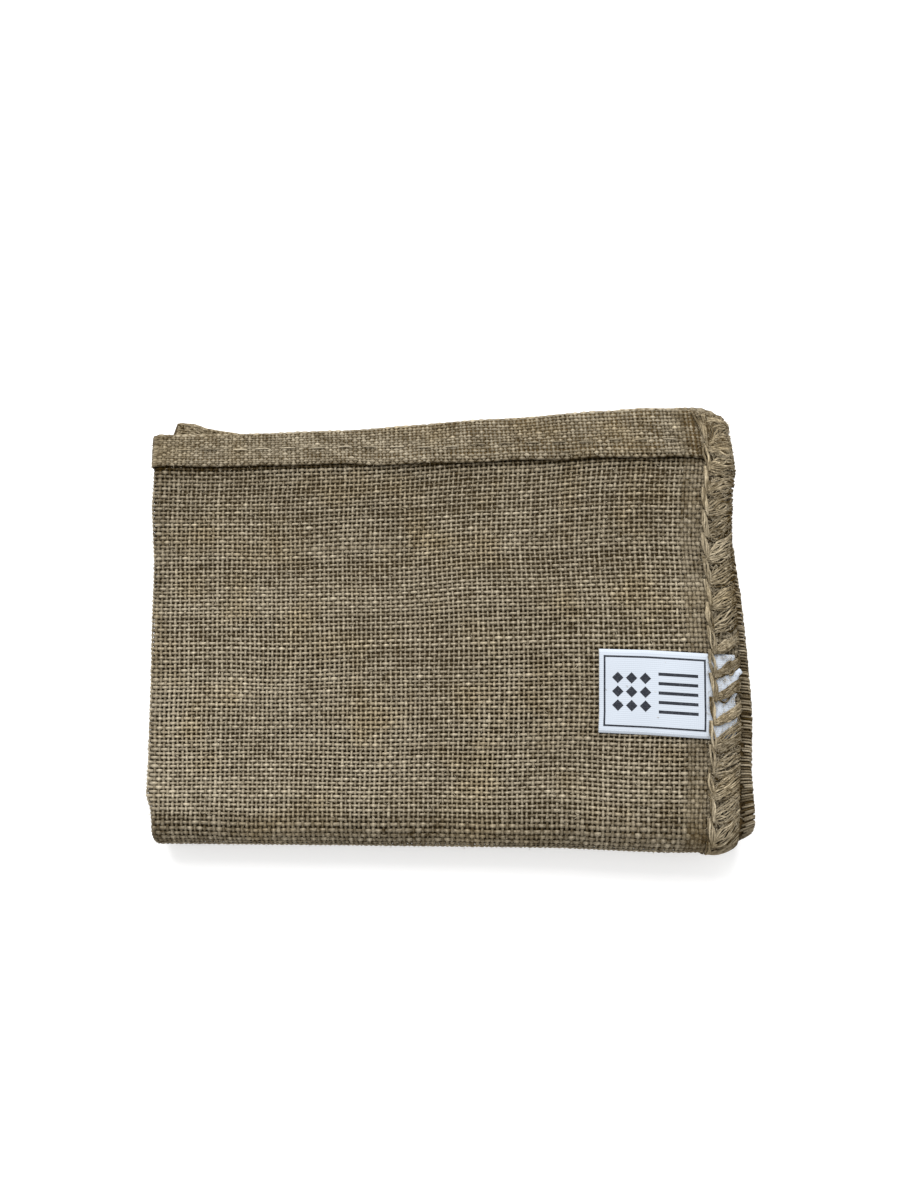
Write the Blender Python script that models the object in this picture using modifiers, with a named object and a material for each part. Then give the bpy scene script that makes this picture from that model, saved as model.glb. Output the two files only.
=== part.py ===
"""A hemmed jute sack, folded in half lengthwise and then in half crosswise twice, lying flat.

The cloth is one cut of hessian.  It is cut and thickened flat, and then every point of it is carried
through the folds in the order in which a person makes them:

1. the cut is doubled at the sack's bottom, and its two ends are turned outward as the mouth hem,
2. the sack is folded in half lengthwise, so that both side seams come to the right,
3. the doubled sack is folded crosswise into four passes that lie on each other.

X runs along the packet to its seams, Y across it to its mouth, and Z is up.  All sizes are in metres.
"""

import math

import bmesh
import bpy
import numpy as np

MM = 0.001

# The sack, laid out flat
SACK_LENGTH = 767 * MM  # from the bottom to the mouth
HEM_WIDTH = 21.5 * MM

# The cloth and how closely it lies
CLOTH_THICK = 1.1 * MM
LAYER_PITCH = 1.5 * MM  # from the middle of one layer to the middle of the next
GAP = 0.3 * MM  # between a piece and the one it lies on
WALL_OFFSET = LAYER_PITCH / 2  # from the middle of the flat sack to either of its walls
HEM_LIFT = LAYER_PITCH  # from a wall to the hem turned over it
PASS_PITCH = 4 * LAYER_PITCH  # from one doubled pass to the next

# The packet
FOLD_MIDDLE_X = -141.3 * MM  # centre of the lengthwise bend, away from the top pass
NEAR_FOLD_Y = -91.2 * MM  # centre of both near folds
FAR_FOLD_Y = 94.7 * MM  # centre of the far fold
MOUTH_Y = 101.7 * MM
NOMINAL_NEAR_Y = -103 * MM  # what the edge lines below are stretched from
NOMINAL_FAR_Y = 103 * MM
ORIGIN_X = -2.395 * MM  # middle of the packet's box, which becomes the part's origin
ORIGIN_Y = 1.608 * MM

# The label, measured along the top pass from the near fold
LABEL_NEAR = 41.7 * MM
LABEL_FAR = 80.0 * MM
LABEL_WIDTH = 64.7 * MM
LABEL_UNDER_EDGE = 1.2 * MM  # how far its sewn end stops short of the cloth's edge
LABEL_THICK = 1.0 * MM
LABEL_SLANT = -0.035

# How the layers lie
SQUEEZE = 0.75  # how close the layers are pinched at the seams
PINCHED_TO = 15 * MM  # from the cloth's side edge
PINCH_ENDS = 34 * MM
SEAM_SWELL = 1.25  # how much higher the packet stands at the seams than at the fold
SWELL_FROM_X = -90 * MM
SWELL_TO_X = 118 * MM
WAVE = 0.014  # unevenness, as a share of the height
SKEW = 1.3 * MM  # how far the left edge leans, from its middle to its end
MOUTH_BULGE = 0.75 * MM  # how far the thicker mouth stands out of the left edge
MOUTH_DROOP = 1.3 * MM  # how far the mouth sinks past the end of the layers under it

# Straight run before each crosswise bend, the bend's turn, and its radius at the middle of the doubled sack.
# The runs go from the sack's bottom to its mouth.  The first one takes what length is left.
TIGHT_BEND = PASS_PITCH / 2
WIDE_BEND = 3 * PASS_PITCH / 2
INNER_RUN = FAR_FOLD_Y - NEAR_FOLD_Y
TOP_RUN = MOUTH_Y - NEAR_FOLD_Y
BENDS_LENGTH = math.pi * (2 * TIGHT_BEND + WIDE_BEND)
BOTTOM_RUN = SACK_LENGTH - TOP_RUN - 2 * INNER_RUN - BENDS_LENGTH
HALF_TURN = math.pi
PASSES = (
    # run, turn, radius
    (BOTTOM_RUN, HALF_TURN, TIGHT_BEND),
    (INNER_RUN, -HALF_TURN, TIGHT_BEND),
    (INNER_RUN, -HALF_TURN, WIDE_BEND),
    (TOP_RUN, 0.0, 0.0),
)
PASSES_START = (NEAR_FOLD_Y + BOTTOM_RUN, 2.5 * PASS_PITCH)
FLOOR_LEVEL = PASS_PITCH / 2 - 1.5 * LAYER_PITCH - CLOTH_THICK / 2

# Where each run and bend starts, from the sack's bottom
INNER_NEAR_BEND = BOTTOM_RUN
THIRD_PASS = INNER_NEAR_BEND + math.pi * TIGHT_BEND
FAR_BEND = THIRD_PASS + INNER_RUN
SECOND_PASS = FAR_BEND + math.pi * TIGHT_BEND
NEAR_BEND = SECOND_PASS + INNER_RUN
TOP_PASS = NEAR_BEND + math.pi * WIDE_BEND

# The seams' overedge twine
STITCH_LEG = 12.5 * MM  # from the chain row to the cloth's edge
CHAIN_WIDTH = 4.4 * MM
CHAIN_HEIGHT = 0.55  # as a share of a loop's
EDGE_ROUND = 1.1 * MM  # radius where the twine bends round the cloth's edge
EDGE_TOP = 0.92  # where the bend ends and where the twine ends, up the thickness of the sack
EDGE_END = -0.94
TWINE_BASE = 0.75 * MM
TWINE_RIDGE = 0.9 * MM
TWINE_FLAT = 0.5 * MM  # under the packet, where its weight presses the twine
EDGE_TWINE = 1.3 * MM
EDGE_RIDGE = 0.6 * MM
EDGE_CROWN = 0.45  # how much thinner the edge twine is at its two sides
LOOP_SLANT = 0.9  # how far each loop leans along the seam for each step towards the edge
SLANT_RISES = (SECOND_PASS + 4 * MM, SECOND_PASS + 40 * MM)
SLANT_FADES = 22 * MM  # before the mouth
DRAWN_BACK = 0.93  # share of the leg that is missing between the lower passes
DRAWN_FROM = (FAR_BEND - 26 * MM, FAR_BEND - 2 * MM)
HEM_CLIMB_LENGTH = 4.5 * MM  # in which the twine climbs onto the hem
LABEL_RAMP = (4 * MM, 9 * MM)  # beside the label, where the twine comes down to the cloth
STITCH_ENDS = (SECOND_PASS, NEAR_BEND, TOP_PASS, SACK_LENGTH)
STITCH_COUNTS = (0, 18, 21, 39)

# Across the upper seam's twine: the chain row, the leg, the bend and the cloth's edge
TWINE_CORNER = STITCH_LEG + EDGE_ROUND * HALF_TURN / 4
TWINE_BENT = STITCH_LEG + EDGE_ROUND * HALF_TURN / 2
TWINE_PLACES = (
    0.0,
    0.35 * CHAIN_WIDTH,
    CHAIN_WIDTH,
    1.9 * CHAIN_WIDTH,
    STITCH_LEG,
    TWINE_CORNER,
    TWINE_BENT,
    TWINE_BENT + EDGE_ROUND,
)

# The cut of cloth from one mouth hem to the other: hem, wall, bottom, wall, hem
CUT = (
    # run, turn, radius
    (HEM_WIDTH, HALF_TURN, HEM_LIFT / 2),
    (SACK_LENGTH, -HALF_TURN, WALL_OFFSET),
    (SACK_LENGTH, HALF_TURN, HEM_LIFT / 2),
    (HEM_WIDTH, 0.0, 0.0),
)
CUT_START = (SACK_LENGTH - HEM_WIDTH, -WALL_OFFSET - HEM_LIFT)
HEM_BEND = math.pi * HEM_LIFT / 2
BOTTOM_BEND = math.pi * WALL_OFFSET
CUT_LENGTH = 2 * (HEM_WIDTH + HEM_BEND + SACK_LENGTH) + BOTTOM_BEND

# Outline of the packet seen from above: far and near edges along X, in millimetres
FAR_EDGE = (
    # x, y
    (-146, 97.2),
    (-94, 97.7),
    (-42, 99.7),
    (9, 103.6),
    (45, 105.6),
    (92, 109.0),
    (145, 109.0),
)
NEAR_EDGE = (
    # x, y
    (-146, -101.0),
    (-50, -101.8),
    (52, -102.8),
    (125, -105.8),
    (145, -105.8),
)
# How wide the mouth hem is turned over, from the lengthwise fold to a seam
HEM_WIDTHS = (
    # share of the way, width in millimetres
    (0.0, 14.9),
    (0.2, 15.0),
    (0.34, 15.5),
    (0.42, 17.2),
    (0.5, 18.5),
    (0.6, 19.0),
    (0.75, 20.9),
    (0.9, 21.5),
    (1.0, 20.8),
)
# How far the rear hem stands out past the front one, in millimetres
REAR_CORNER = (
    # x, y
    (-137.5, 0.0),
    (-135.0, 8.3),
    (-126.0, 7.2),
    (-121.0, 5.2),
    (-114.0, 3.6),
    (-100.0, 1.2),
    (-88.0, 0.0),
)
# How far the far and the near corner are drawn in at the seams
CORNERS_START_X = 110 * MM
CORNERS_END_X = 140 * MM
FAR_CORNER = 13 * MM
NEAR_CORNER = 6 * MM
# Along each wall of the sack: where a stretch ends, and how many steps it is built in
HEM_CLIMB = SACK_LENGTH - 36 * MM
HEM_RISEN = SACK_LENGTH - 22.5 * MM
TOP_STEPS = 6
TOP_STEP = (HEM_CLIMB - TOP_PASS) / TOP_STEPS
DROOP = (HEM_CLIMB, HEM_RISEN)  # where it starts to sink and where it lies again
WALL = (
    # end, steps
    (INNER_NEAR_BEND, 5),
    (THIRD_PASS, 4),
    (FAR_BEND, 5),
    (SECOND_PASS, 4),
    (NEAR_BEND, 5),
    (TOP_PASS, 6),
    (HEM_CLIMB, TOP_STEPS),
    (HEM_RISEN, 2),
    (SACK_LENGTH, 2),
)
# Side edges of the cloth along the sack: X of the upper seam's and of the lower one's, in millimetres.
# The lengthwise fold is a little skew, so the lower seam stands out along the near half of the top pass.
SEAM_EDGES = (
    # from bottom, upper x, lower x
    (0.0, 134.6, 133.6),
    (INNER_NEAR_BEND, 134.2, 135.4),
    (FAR_BEND, 135.0, 134.4),
    (SECOND_PASS, 134.8, 134.6),
    (NEAR_BEND, 133.2, 141.0),
    (TOP_PASS, 132.8, 141.4),
    (TOP_PASS + TOP_STEP, 133.8, 140.2),
    (TOP_PASS + 2 * TOP_STEP, 135.2, 141.5),
    (TOP_PASS + 3 * TOP_STEP, 135.6, 140.2),
    (TOP_PASS + 4 * TOP_STEP, 135.0, 138.2),
    (TOP_PASS + 5 * TOP_STEP, 133.6, 134.8),
    (HEM_CLIMB, 134.8, 133.8),
    (HEM_RISEN, 136.8, 135.0),
    (SACK_LENGTH, 133.6, 132.6),
)
# Centre of the lengthwise bend along the sack: the top pass stands out furthest beside the near fold.
FOLD_LINE = (
    # from bottom, x in millimetres
    (0.0, -141.3),
    (NEAR_BEND, -141.0),
    (TOP_PASS, -140.2),
    (TOP_PASS + 6 * MM, -140.8),
    (TOP_PASS + 13 * MM, -143.2),
    (TOP_PASS + 60 * MM, -142.0),
    (TOP_PASS + 130 * MM, -141.3),
    (HEM_CLIMB, -143.0),
    (HEM_RISEN, -144.0),
    (SACK_LENGTH, -143.3),
)


def columns(table):
    """A table's columns as arrays."""
    return np.array(table, float).T


def soft_step(value, start, end):
    """0 before start, 1 after end, and a smooth rise between them."""
    share = np.clip((value - start) / (end - start), 0, 1)
    return share * share * (3 - 2 * share)


def walk(rows, start, heading, distance, offset):
    """Points at a distance along straight runs and round bends, set off to the left of the way."""
    at = np.array(start, float)
    angle = heading
    gone = 0.0
    first = at[0] + distance * math.cos(angle)
    second = at[1] + distance * math.sin(angle)
    facing = np.full_like(first, angle)
    for run, turn, radius in rows:
        on = distance >= gone
        first = np.where(on, at[0] + (distance - gone) * math.cos(angle), first)
        second = np.where(on, at[1] + (distance - gone) * math.sin(angle), second)
        at += run * np.array([math.cos(angle), math.sin(angle)])
        gone += run
        if not turn:
            continue
        side = math.copysign(1, turn)
        swing = angle + side * np.clip((distance - gone) / radius, 0, abs(turn))
        on = distance >= gone
        first = np.where(on, at[0] + side * radius * (np.sin(swing) - math.sin(angle)), first)
        second = np.where(on, at[1] - side * radius * (np.cos(swing) - math.cos(angle)), second)
        facing = np.where(on, swing, facing)
        turned = angle + turn
        at += side * radius * np.array(
            [math.sin(turned) - math.sin(angle), math.cos(angle) - math.cos(turned)]
        )
        angle = turned
        gone += radius * abs(turn)
    return first - offset * np.sin(facing), second + offset * np.cos(facing)


def near_mouth(along):
    """1 under the mouth hems, whose extra layers spread the doubled sack, and 0 away from them."""
    return soft_step(along, HEM_CLIMB, HEM_RISEN)


def swell(x):
    """How much higher the packet stands at this x than at the lengthwise fold."""
    return 1 + (SEAM_SWELL - 1) * soft_step(x, SWELL_FROM_X, SWELL_TO_X)


def seam_edge(across, along):
    """X of the cloth's side edge on this half of the sack."""
    bottom, upper, lower = columns(SEAM_EDGES)
    return MM * np.where(across > 0, np.interp(along, bottom, upper), np.interp(along, bottom, lower))


def settle(x, y, z):
    """Gives the even packet its real outline, height and slight waves, with its underside kept flat."""
    far_x, far_y = columns(FAR_EDGE) * MM
    near_x, near_y = columns(NEAR_EDGE) * MM
    share = (y - NOMINAL_NEAR_Y) / (NOMINAL_FAR_Y - NOMINAL_NEAR_Y)
    near = np.interp(x, near_x, near_y)
    far = np.interp(x, far_x, far_y)
    new_y = near + share * (far - near)
    corner = np.clip((x - CORNERS_START_X) / (CORNERS_END_X - CORNERS_START_X), 0, None) ** 3
    new_y -= FAR_CORNER * corner * soft_step(share, 0.7, 1.0)
    new_y += NEAR_CORNER * corner * (1 - soft_step(share, 0.0, 0.24))
    new_x = x - SKEW * (y / NOMINAL_FAR_Y) * (1 - soft_step(x, FOLD_MIDDLE_X, CORNERS_START_X))
    wave = (
        np.sin(x / (38 * MM) + 0.6) * np.cos(y / (31 * MM) - 0.4)
        + 0.8 * np.sin(y / (24 * MM) + x / (90 * MM) + 2.0)
        + 0.6 * np.cos(x / (22 * MM) - y / (55 * MM))
    )
    new_z = (z - FLOOR_LEVEL) * swell(x) * (1 + WAVE * wave)
    return np.stack([new_x - ORIGIN_X, new_y - ORIGIN_Y, new_z], axis=-1)


def folded(across, along, off, proud=0.0, beyond=0.0):
    """Points of the folded packet.

    across runs from -2 at the lower side edge to 2 at the upper one, with the lengthwise bend from -1
    to 1.  along is the distance from the sack's bottom.  off is the distance from the middle of the
    flat sack, out through the wall that shows on top.  proud stands further out than the cloth, in
    real size, and beyond is further out in X.
    """
    mouth = near_mouth(along)
    radius = LAYER_PITCH + HEM_LIFT * mouth
    turn = np.clip(across, -1, 1) * HALF_TURN / 2
    from_bottom, bend_x = columns(FOLD_LINE)
    middle = MM * np.interp(along, from_bottom, bend_x) + (2 * HEM_LIFT - MOUTH_BULGE) * mouth
    edge = seam_edge(across, along)
    x = middle - (radius + off) * np.cos(turn)
    x = x + np.clip(np.abs(across) - 1, 0, 1) * (edge - middle) + beyond
    pinch = SQUEEZE + (1 - SQUEEZE) * soft_step(edge - x, PINCHED_TO, PINCH_ENDS)
    rise = pinch * (radius + off) * np.sin(turn) - HEM_LIFT * mouth
    rise = rise - MOUTH_DROOP * np.interp(along, DROOP, (0, 1))
    rise = rise + np.sign(across) * proud / swell(x)
    corner_x, corner_y = columns(REAR_CORNER) * MM
    slip = np.interp(x, corner_x, corner_y) * (across < -1) * soft_step(along, HEM_CLIMB, SACK_LENGTH)
    y, z = walk(PASSES, PASSES_START, HALF_TURN, along, rise)
    return settle(x, y + slip, z)


def stations(start, pieces, finer=None):
    """Distances from start through pieces, each given by its end and its number of equal steps."""
    found = [np.array([start])]
    for (end, steps), times in zip(pieces, finer or [1] * len(pieces)):
        found.append(np.linspace(found[-1][-1], end, steps * times + 1)[1:])
    return np.concatenate(found)


def thick_strip(columns_of, rows_of):
    """A flat grid with Solidify, and each of its vertices' column, row and face, which is 1 or -1."""
    steps_across = len(columns_of) - 1
    steps_along = len(rows_of) - 1
    bpy.ops.mesh.primitive_grid_add(x_subdivisions=steps_across, y_subdivisions=steps_along, size=2)
    flat = bpy.context.object
    solidify = flat.modifiers.new("thickness", "SOLIDIFY")
    solidify.thickness = 2.0
    solidify.offset = 0.0
    solid = bpy.data.meshes.new_from_object(flat.evaluated_get(bpy.context.evaluated_depsgraph_get()))
    bpy.data.objects.remove(flat)
    points = np.empty(len(solid.vertices) * 3, np.float32)
    solid.vertices.foreach_get("co", points)
    points = points.reshape(-1, 3)
    column = np.rint((points[:, 0] + 1) / 2 * steps_across).astype(int)
    row = np.rint((points[:, 1] + 1) / 2 * steps_along).astype(int)
    return solid, columns_of[column], rows_of[row], np.sign(points[:, 2])


def finish(name, mesh, points, material, collection):
    """Moves the strip's vertices to their places, faces it outward and makes it a named object."""
    mesh.vertices.foreach_set("co", points.astype(np.float32).ravel())
    shaped = bmesh.new()
    shaped.from_mesh(mesh)
    bmesh.ops.triangulate(shaped, faces=shaped.faces)
    bmesh.ops.recalc_face_normals(shaped, faces=shaped.faces)
    shaped.to_mesh(mesh)
    shaped.free()
    mesh.shade_smooth()
    mesh.set_sharp_from_angle(angle=math.radians(50))
    mesh.materials.clear()
    mesh.materials.append(material)
    mesh.name = name
    piece = bpy.data.objects.new(name, mesh)
    collection.objects.link(piece)
    return piece


def plain_material(name, colour, roughness):
    """A Principled material of one colour."""
    material = bpy.data.materials.new(name)
    material.use_nodes = True
    shader = material.node_tree.nodes["Principled BSDF"]
    shader.inputs["Base Color"].default_value = (*colour, 1.0)
    shader.inputs["Roughness"].default_value = roughness
    shader.inputs["Metallic"].default_value = 0.0
    return material


def make_cloth(collection):
    """The whole cut of cloth, hems included, as one folded sheet."""
    half = np.array([0.5, 1, 1.022, 1.07, 1.2, 1.38, 1.56, 1.74, 1.87, 1.925, 1.96, 1.98, 2])
    across_stations = np.concatenate([-half[::-1], [0], half])
    wall = stations(0.0, WALL)
    to_front_wall = HEM_WIDTH + HEM_BEND + SACK_LENGTH
    hem_bend = HEM_WIDTH + HEM_BEND * np.arange(3) / 3
    hem = np.concatenate([HEM_WIDTH * np.array([0, 0.55]), hem_bend])
    front = to_front_wall - wall[::-1]
    bottom = to_front_wall + BOTTOM_BEND * np.array([0.25, 0.5, 0.75])
    back = to_front_wall + BOTTOM_BEND + wall
    cut_stations = np.concatenate([hem, front, bottom, back, (CUT_LENGTH - hem)[::-1]])
    mesh, across, cut, face = thick_strip(across_stations, cut_stations)
    # The hem is narrower at the lengthwise fold than at the seams.
    shares, widths = columns(HEM_WIDTHS)
    shorter = 1 - MM * np.interp(np.abs(across) - 1, shares, widths) / HEM_WIDTH
    cut = cut + shorter * np.clip(HEM_WIDTH - cut, 0, None)
    cut = cut - shorter * np.clip(cut - (CUT_LENGTH - HEM_WIDTH), 0, None)
    along, off = walk(CUT, CUT_START, 0.0, cut, face * CLOTH_THICK / 2)
    material = plain_material("jute_cloth", (0.36, 0.29, 0.19), 0.95)
    return finish("sack_cloth", mesh, folded(across, along, off), material, collection)


def over_hem(along):
    """How much of the hem's lift the twine takes: it climbs just before the hem's inner edge."""
    return HEM_LIFT * soft_step(along, HEM_RISEN - HEM_CLIMB_LENGTH, HEM_RISEN)


def on_label(along):
    """1 where the upper seam passes over the label's sewn end."""
    near = TOP_PASS + LABEL_NEAR
    far = TOP_PASS + LABEL_FAR
    close, away = LABEL_RAMP
    return soft_step(along, near - away, near - close) * (1 - soft_step(along, far + close, far + away))


def ridge(along):
    """1 on the crest of each stitch's loop and 0 between loops, from the second pass on."""
    stitches = np.interp(along, STITCH_ENDS, STITCH_COUNTS)
    return 0.5 + 0.5 * np.cos(2 * math.pi * stitches)


def make_upper_twine(collection):
    """The overedge twine that shows: a leg over the cloth with its chain row and loops, and the edge."""
    rows = stations(0.0, WALL, (1, 1, 3, 2, 6, 2, 7, 2, 3))
    mesh, place, row, face = thick_strip(np.array(TWINE_PLACES), rows)
    # Between the lower passes there is no room for the leg, so the twine there is drawn back to the edge.
    drawn = DRAWN_BACK * (1 - soft_step(row, *DRAWN_FROM))
    place = place + drawn * np.clip(TWINE_CORNER - place, 0, None)
    leg = np.clip(STITCH_LEG - place, 0, None)
    slant = LOOP_SLANT * soft_step(row, *SLANT_RISES) * np.clip((SACK_LENGTH - row) / SLANT_FADES, 0, 1)
    along = row - slant * leg
    relief = ridge(row) * soft_step(row, *SLANT_RISES)
    on_top = soft_step(along, NEAR_BEND, TOP_PASS)
    chain = CHAIN_HEIGHT * (1 - soft_step(place, 0.5 * CHAIN_WIDTH, CHAIN_WIDTH))
    full = TWINE_BASE + TWINE_RIDGE * np.maximum(relief, chain)
    thick = TWINE_FLAT + on_top * (full - TWINE_FLAT)
    # On the leg the strip lies over the cloth.  Past it, it bends down round the cloth's edge.
    bend = np.clip((place - STITCH_LEG) / EDGE_ROUND, 0, HALF_TURN / 2)
    down = np.clip(place - TWINE_BENT, 0, None) / EDGE_ROUND
    surface = WALL_OFFSET + CLOTH_THICK / 2 + over_hem(along)
    lift = GAP + (LABEL_THICK + GAP) * on_label(along)
    outer = face > 0
    proud = (lift + np.where(outer, thick, 0)) * np.cos(bend)
    beyond = (GAP + np.where(outer, EDGE_TWINE + EDGE_RIDGE * relief, 0)) * np.sin(bend) - leg
    off = surface * (1 - (1 - EDGE_TOP) * np.sin(bend) - (EDGE_TOP - EDGE_END) * down)
    points = folded(np.full_like(along, 2.0), along, off, proud, beyond)
    material = plain_material("jute_twine", (0.45, 0.37, 0.24), 0.9)
    return finish("seam_twine_upper", mesh, points, material, collection)


def make_lower_twine(collection):
    """The overedge twine of the seam underneath, of which only the edge shows."""
    rows = stations(0.0, WALL, (1, 1, 1, 1, 2, 2, 5, 2, 2))
    mesh, place, row, face = thick_strip(np.linspace(-1, 1, 5), rows)
    relief = ridge(row) * soft_step(row, NEAR_BEND, TOP_PASS)
    surface = WALL_OFFSET + CLOTH_THICK / 2 + over_hem(row)
    crown = 1 - EDGE_CROWN * place * place
    beyond = GAP + np.where(face > 0, (EDGE_TWINE + EDGE_RIDGE * relief) * crown, 0)
    points = folded(np.full_like(row, -2.0), row, place * surface, 0.0, beyond)
    material = plain_material("jute_twine_under", (0.40, 0.33, 0.21), 0.9)
    return finish("seam_twine_lower", mesh, points, material, collection)


def make_label(collection):
    """The woven tab, lying on the top pass with its right end under the seam's twine."""
    share = np.array([0, 0.12, 0.3, 0.48, 0.64, 0.78, 0.86, 0.93, 1])
    rows = np.linspace(TOP_PASS + LABEL_NEAR, TOP_PASS + LABEL_FAR, 7)
    mesh, place, row, face = thick_strip(share, rows)
    beyond = -LABEL_UNDER_EDGE - LABEL_WIDTH * (1 - place)
    along = row + LABEL_SLANT * LABEL_WIDTH * (place - 0.5)
    surface = WALL_OFFSET + CLOTH_THICK / 2
    proud = GAP + LABEL_THICK * (face + 1) / 2
    points = folded(np.full_like(along, 2.0), along, surface, proud, beyond)
    material = plain_material("white_tape", (0.86, 0.88, 0.92), 0.6)
    return finish("label", mesh, points, material, collection)


def main():
    for old in list(bpy.data.objects):
        bpy.data.objects.remove(old)
    collection = bpy.data.collections.new("jute_sack")
    bpy.context.scene.collection.children.link(collection)
    make_cloth(collection)
    make_upper_twine(collection)
    make_lower_twine(collection)
    make_label(collection)


main()
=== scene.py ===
"""A folded jute sack: woven hessian, overedge twine seams, a sewn mouth hem and a woven tab.

The cloth is thought of laid out flat.  A place on it has three numbers: side, the distance from the
lengthwise fold (positive on the half that shows on top), along, the distance from the sack's bottom, and
off, the distance from the middle of the doubled cloth.  Every yarn, stitch and hair is laid out in those
numbers and then carried through the folds.  All sizes are in metres.
"""

import math

import bpy
import numpy as np
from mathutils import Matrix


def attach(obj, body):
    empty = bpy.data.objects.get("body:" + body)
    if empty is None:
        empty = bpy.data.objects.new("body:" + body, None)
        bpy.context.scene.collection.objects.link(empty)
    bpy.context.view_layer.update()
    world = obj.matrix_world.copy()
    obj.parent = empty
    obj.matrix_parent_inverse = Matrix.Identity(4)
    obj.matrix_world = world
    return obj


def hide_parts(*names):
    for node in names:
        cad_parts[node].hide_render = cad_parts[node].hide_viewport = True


bl_info = {
    "name": "Folded jute sack",
    "version": (1, 0, 0),
    "blender": (4, 5, 0),
    "location": "View3D > Sidebar > Jute sack",
    "description": "Builds a hemmed hessian sack, folded flat, with its seams, hem and tab",
    "category": "Add Mesh",
}

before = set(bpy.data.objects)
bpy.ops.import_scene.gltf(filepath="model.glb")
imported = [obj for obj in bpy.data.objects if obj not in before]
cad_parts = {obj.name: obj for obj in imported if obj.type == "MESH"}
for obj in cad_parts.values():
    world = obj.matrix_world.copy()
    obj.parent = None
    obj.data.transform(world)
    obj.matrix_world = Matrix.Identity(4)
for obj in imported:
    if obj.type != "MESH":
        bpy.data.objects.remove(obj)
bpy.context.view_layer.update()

MM = 0.001
HALF_TURN = math.pi

# The sack, laid out flat
SACK_LENGTH = 767 * MM
HEM_WIDTH = 21.5 * MM

# How the cloth lies: the thickness and spacing of its layers, how the seams squeeze them, how the packet
# swells towards the seams, its slow waves and its skew, and how the mouth bulges out and droops
CLOTH_THICK = 1.1 * MM
SHEET_HALF_THICK = 0.15 * MM
LAYER_PITCH = 1.5 * MM
WALL_OFFSET = LAYER_PITCH / 2
HEM_LIFT = LAYER_PITCH
PASS_PITCH = 4 * LAYER_PITCH
SQUEEZE = 0.75
PINCHED_TO = 15 * MM
PINCH_ENDS = 34 * MM
SEAM_SWELL = 1.25
SWELL_FROM_X = -90 * MM
SWELL_TO_X = 118 * MM
WAVE = 0.014
SKEW = 1.3 * MM
MOUTH_BULGE = 0.75 * MM
MOUTH_DROOP = 1.3 * MM

# The packet
FOLD_MIDDLE_X = -141.3 * MM
NEAR_FOLD_Y = -91.2 * MM
FAR_FOLD_Y = 94.7 * MM
MOUTH_Y = 101.7 * MM
NOMINAL_NEAR_Y = -103 * MM
NOMINAL_FAR_Y = 103 * MM
ORIGIN_X = -2.395 * MM
ORIGIN_Y = 1.608 * MM

# The crosswise folds, from the sack's bottom to its mouth
TIGHT_BEND = PASS_PITCH / 2
WIDE_BEND = 3 * PASS_PITCH / 2
INNER_RUN = FAR_FOLD_Y - NEAR_FOLD_Y
TOP_RUN = MOUTH_Y - NEAR_FOLD_Y
BENDS_LENGTH = math.pi * (2 * TIGHT_BEND + WIDE_BEND)
BOTTOM_RUN = SACK_LENGTH - TOP_RUN - 2 * INNER_RUN - BENDS_LENGTH
PASSES = (
    # run, turn, radius
    (BOTTOM_RUN, HALF_TURN, TIGHT_BEND),
    (INNER_RUN, -HALF_TURN, TIGHT_BEND),
    (INNER_RUN, -HALF_TURN, WIDE_BEND),
    (TOP_RUN, 0.0, 0.0),
)
PASSES_START = (NEAR_FOLD_Y + BOTTOM_RUN, 2.5 * PASS_PITCH)
FLOOR_LEVEL = PASS_PITCH / 2 - 1.5 * LAYER_PITCH - CLOTH_THICK / 2
INNER_NEAR_BEND = BOTTOM_RUN
THIRD_PASS = INNER_NEAR_BEND + math.pi * TIGHT_BEND
FAR_BEND = THIRD_PASS + INNER_RUN
SECOND_PASS = FAR_BEND + math.pi * TIGHT_BEND
NEAR_BEND = SECOND_PASS + INNER_RUN
TOP_PASS = NEAR_BEND + math.pi * WIDE_BEND

# The cut of cloth from one mouth hem to the other
CUT = (
    # run, turn, radius
    (HEM_WIDTH, HALF_TURN, HEM_LIFT / 2),
    (SACK_LENGTH, -HALF_TURN, WALL_OFFSET),
    (SACK_LENGTH, HALF_TURN, HEM_LIFT / 2),
    (HEM_WIDTH, 0.0, 0.0),
)
CUT_START = (SACK_LENGTH - HEM_WIDTH, -WALL_OFFSET - HEM_LIFT)
HEM_BEND = math.pi * HEM_LIFT / 2
BOTTOM_BEND = math.pi * WALL_OFFSET
CUT_LENGTH = 2 * (HEM_WIDTH + HEM_BEND + SACK_LENGTH) + BOTTOM_BEND
FRONT_WALL = HEM_WIDTH + HEM_BEND
BACK_WALL = FRONT_WALL + SACK_LENGTH + BOTTOM_BEND
LAST_HEM = BACK_WALL + SACK_LENGTH

# Outline of the packet seen from above, in millimetres
FAR_EDGE = (
    # x, y
    (-146, 97.2),
    (-94, 97.7),
    (-42, 99.7),
    (9, 103.6),
    (45, 105.6),
    (92, 109.0),
    (145, 109.0),
)
NEAR_EDGE = (
    # x, y
    (-146, -101.0),
    (-50, -101.8),
    (52, -102.8),
    (125, -105.8),
    (145, -105.8),
)
HEM_WIDTHS = (
    # share of the way from the lengthwise fold to a seam, width in millimetres
    (0.0, 14.9),
    (0.2, 15.0),
    (0.34, 15.5),
    (0.42, 17.2),
    (0.5, 18.5),
    (0.6, 19.0),
    (0.75, 20.9),
    (0.9, 21.5),
    (1.0, 20.8),
)
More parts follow.
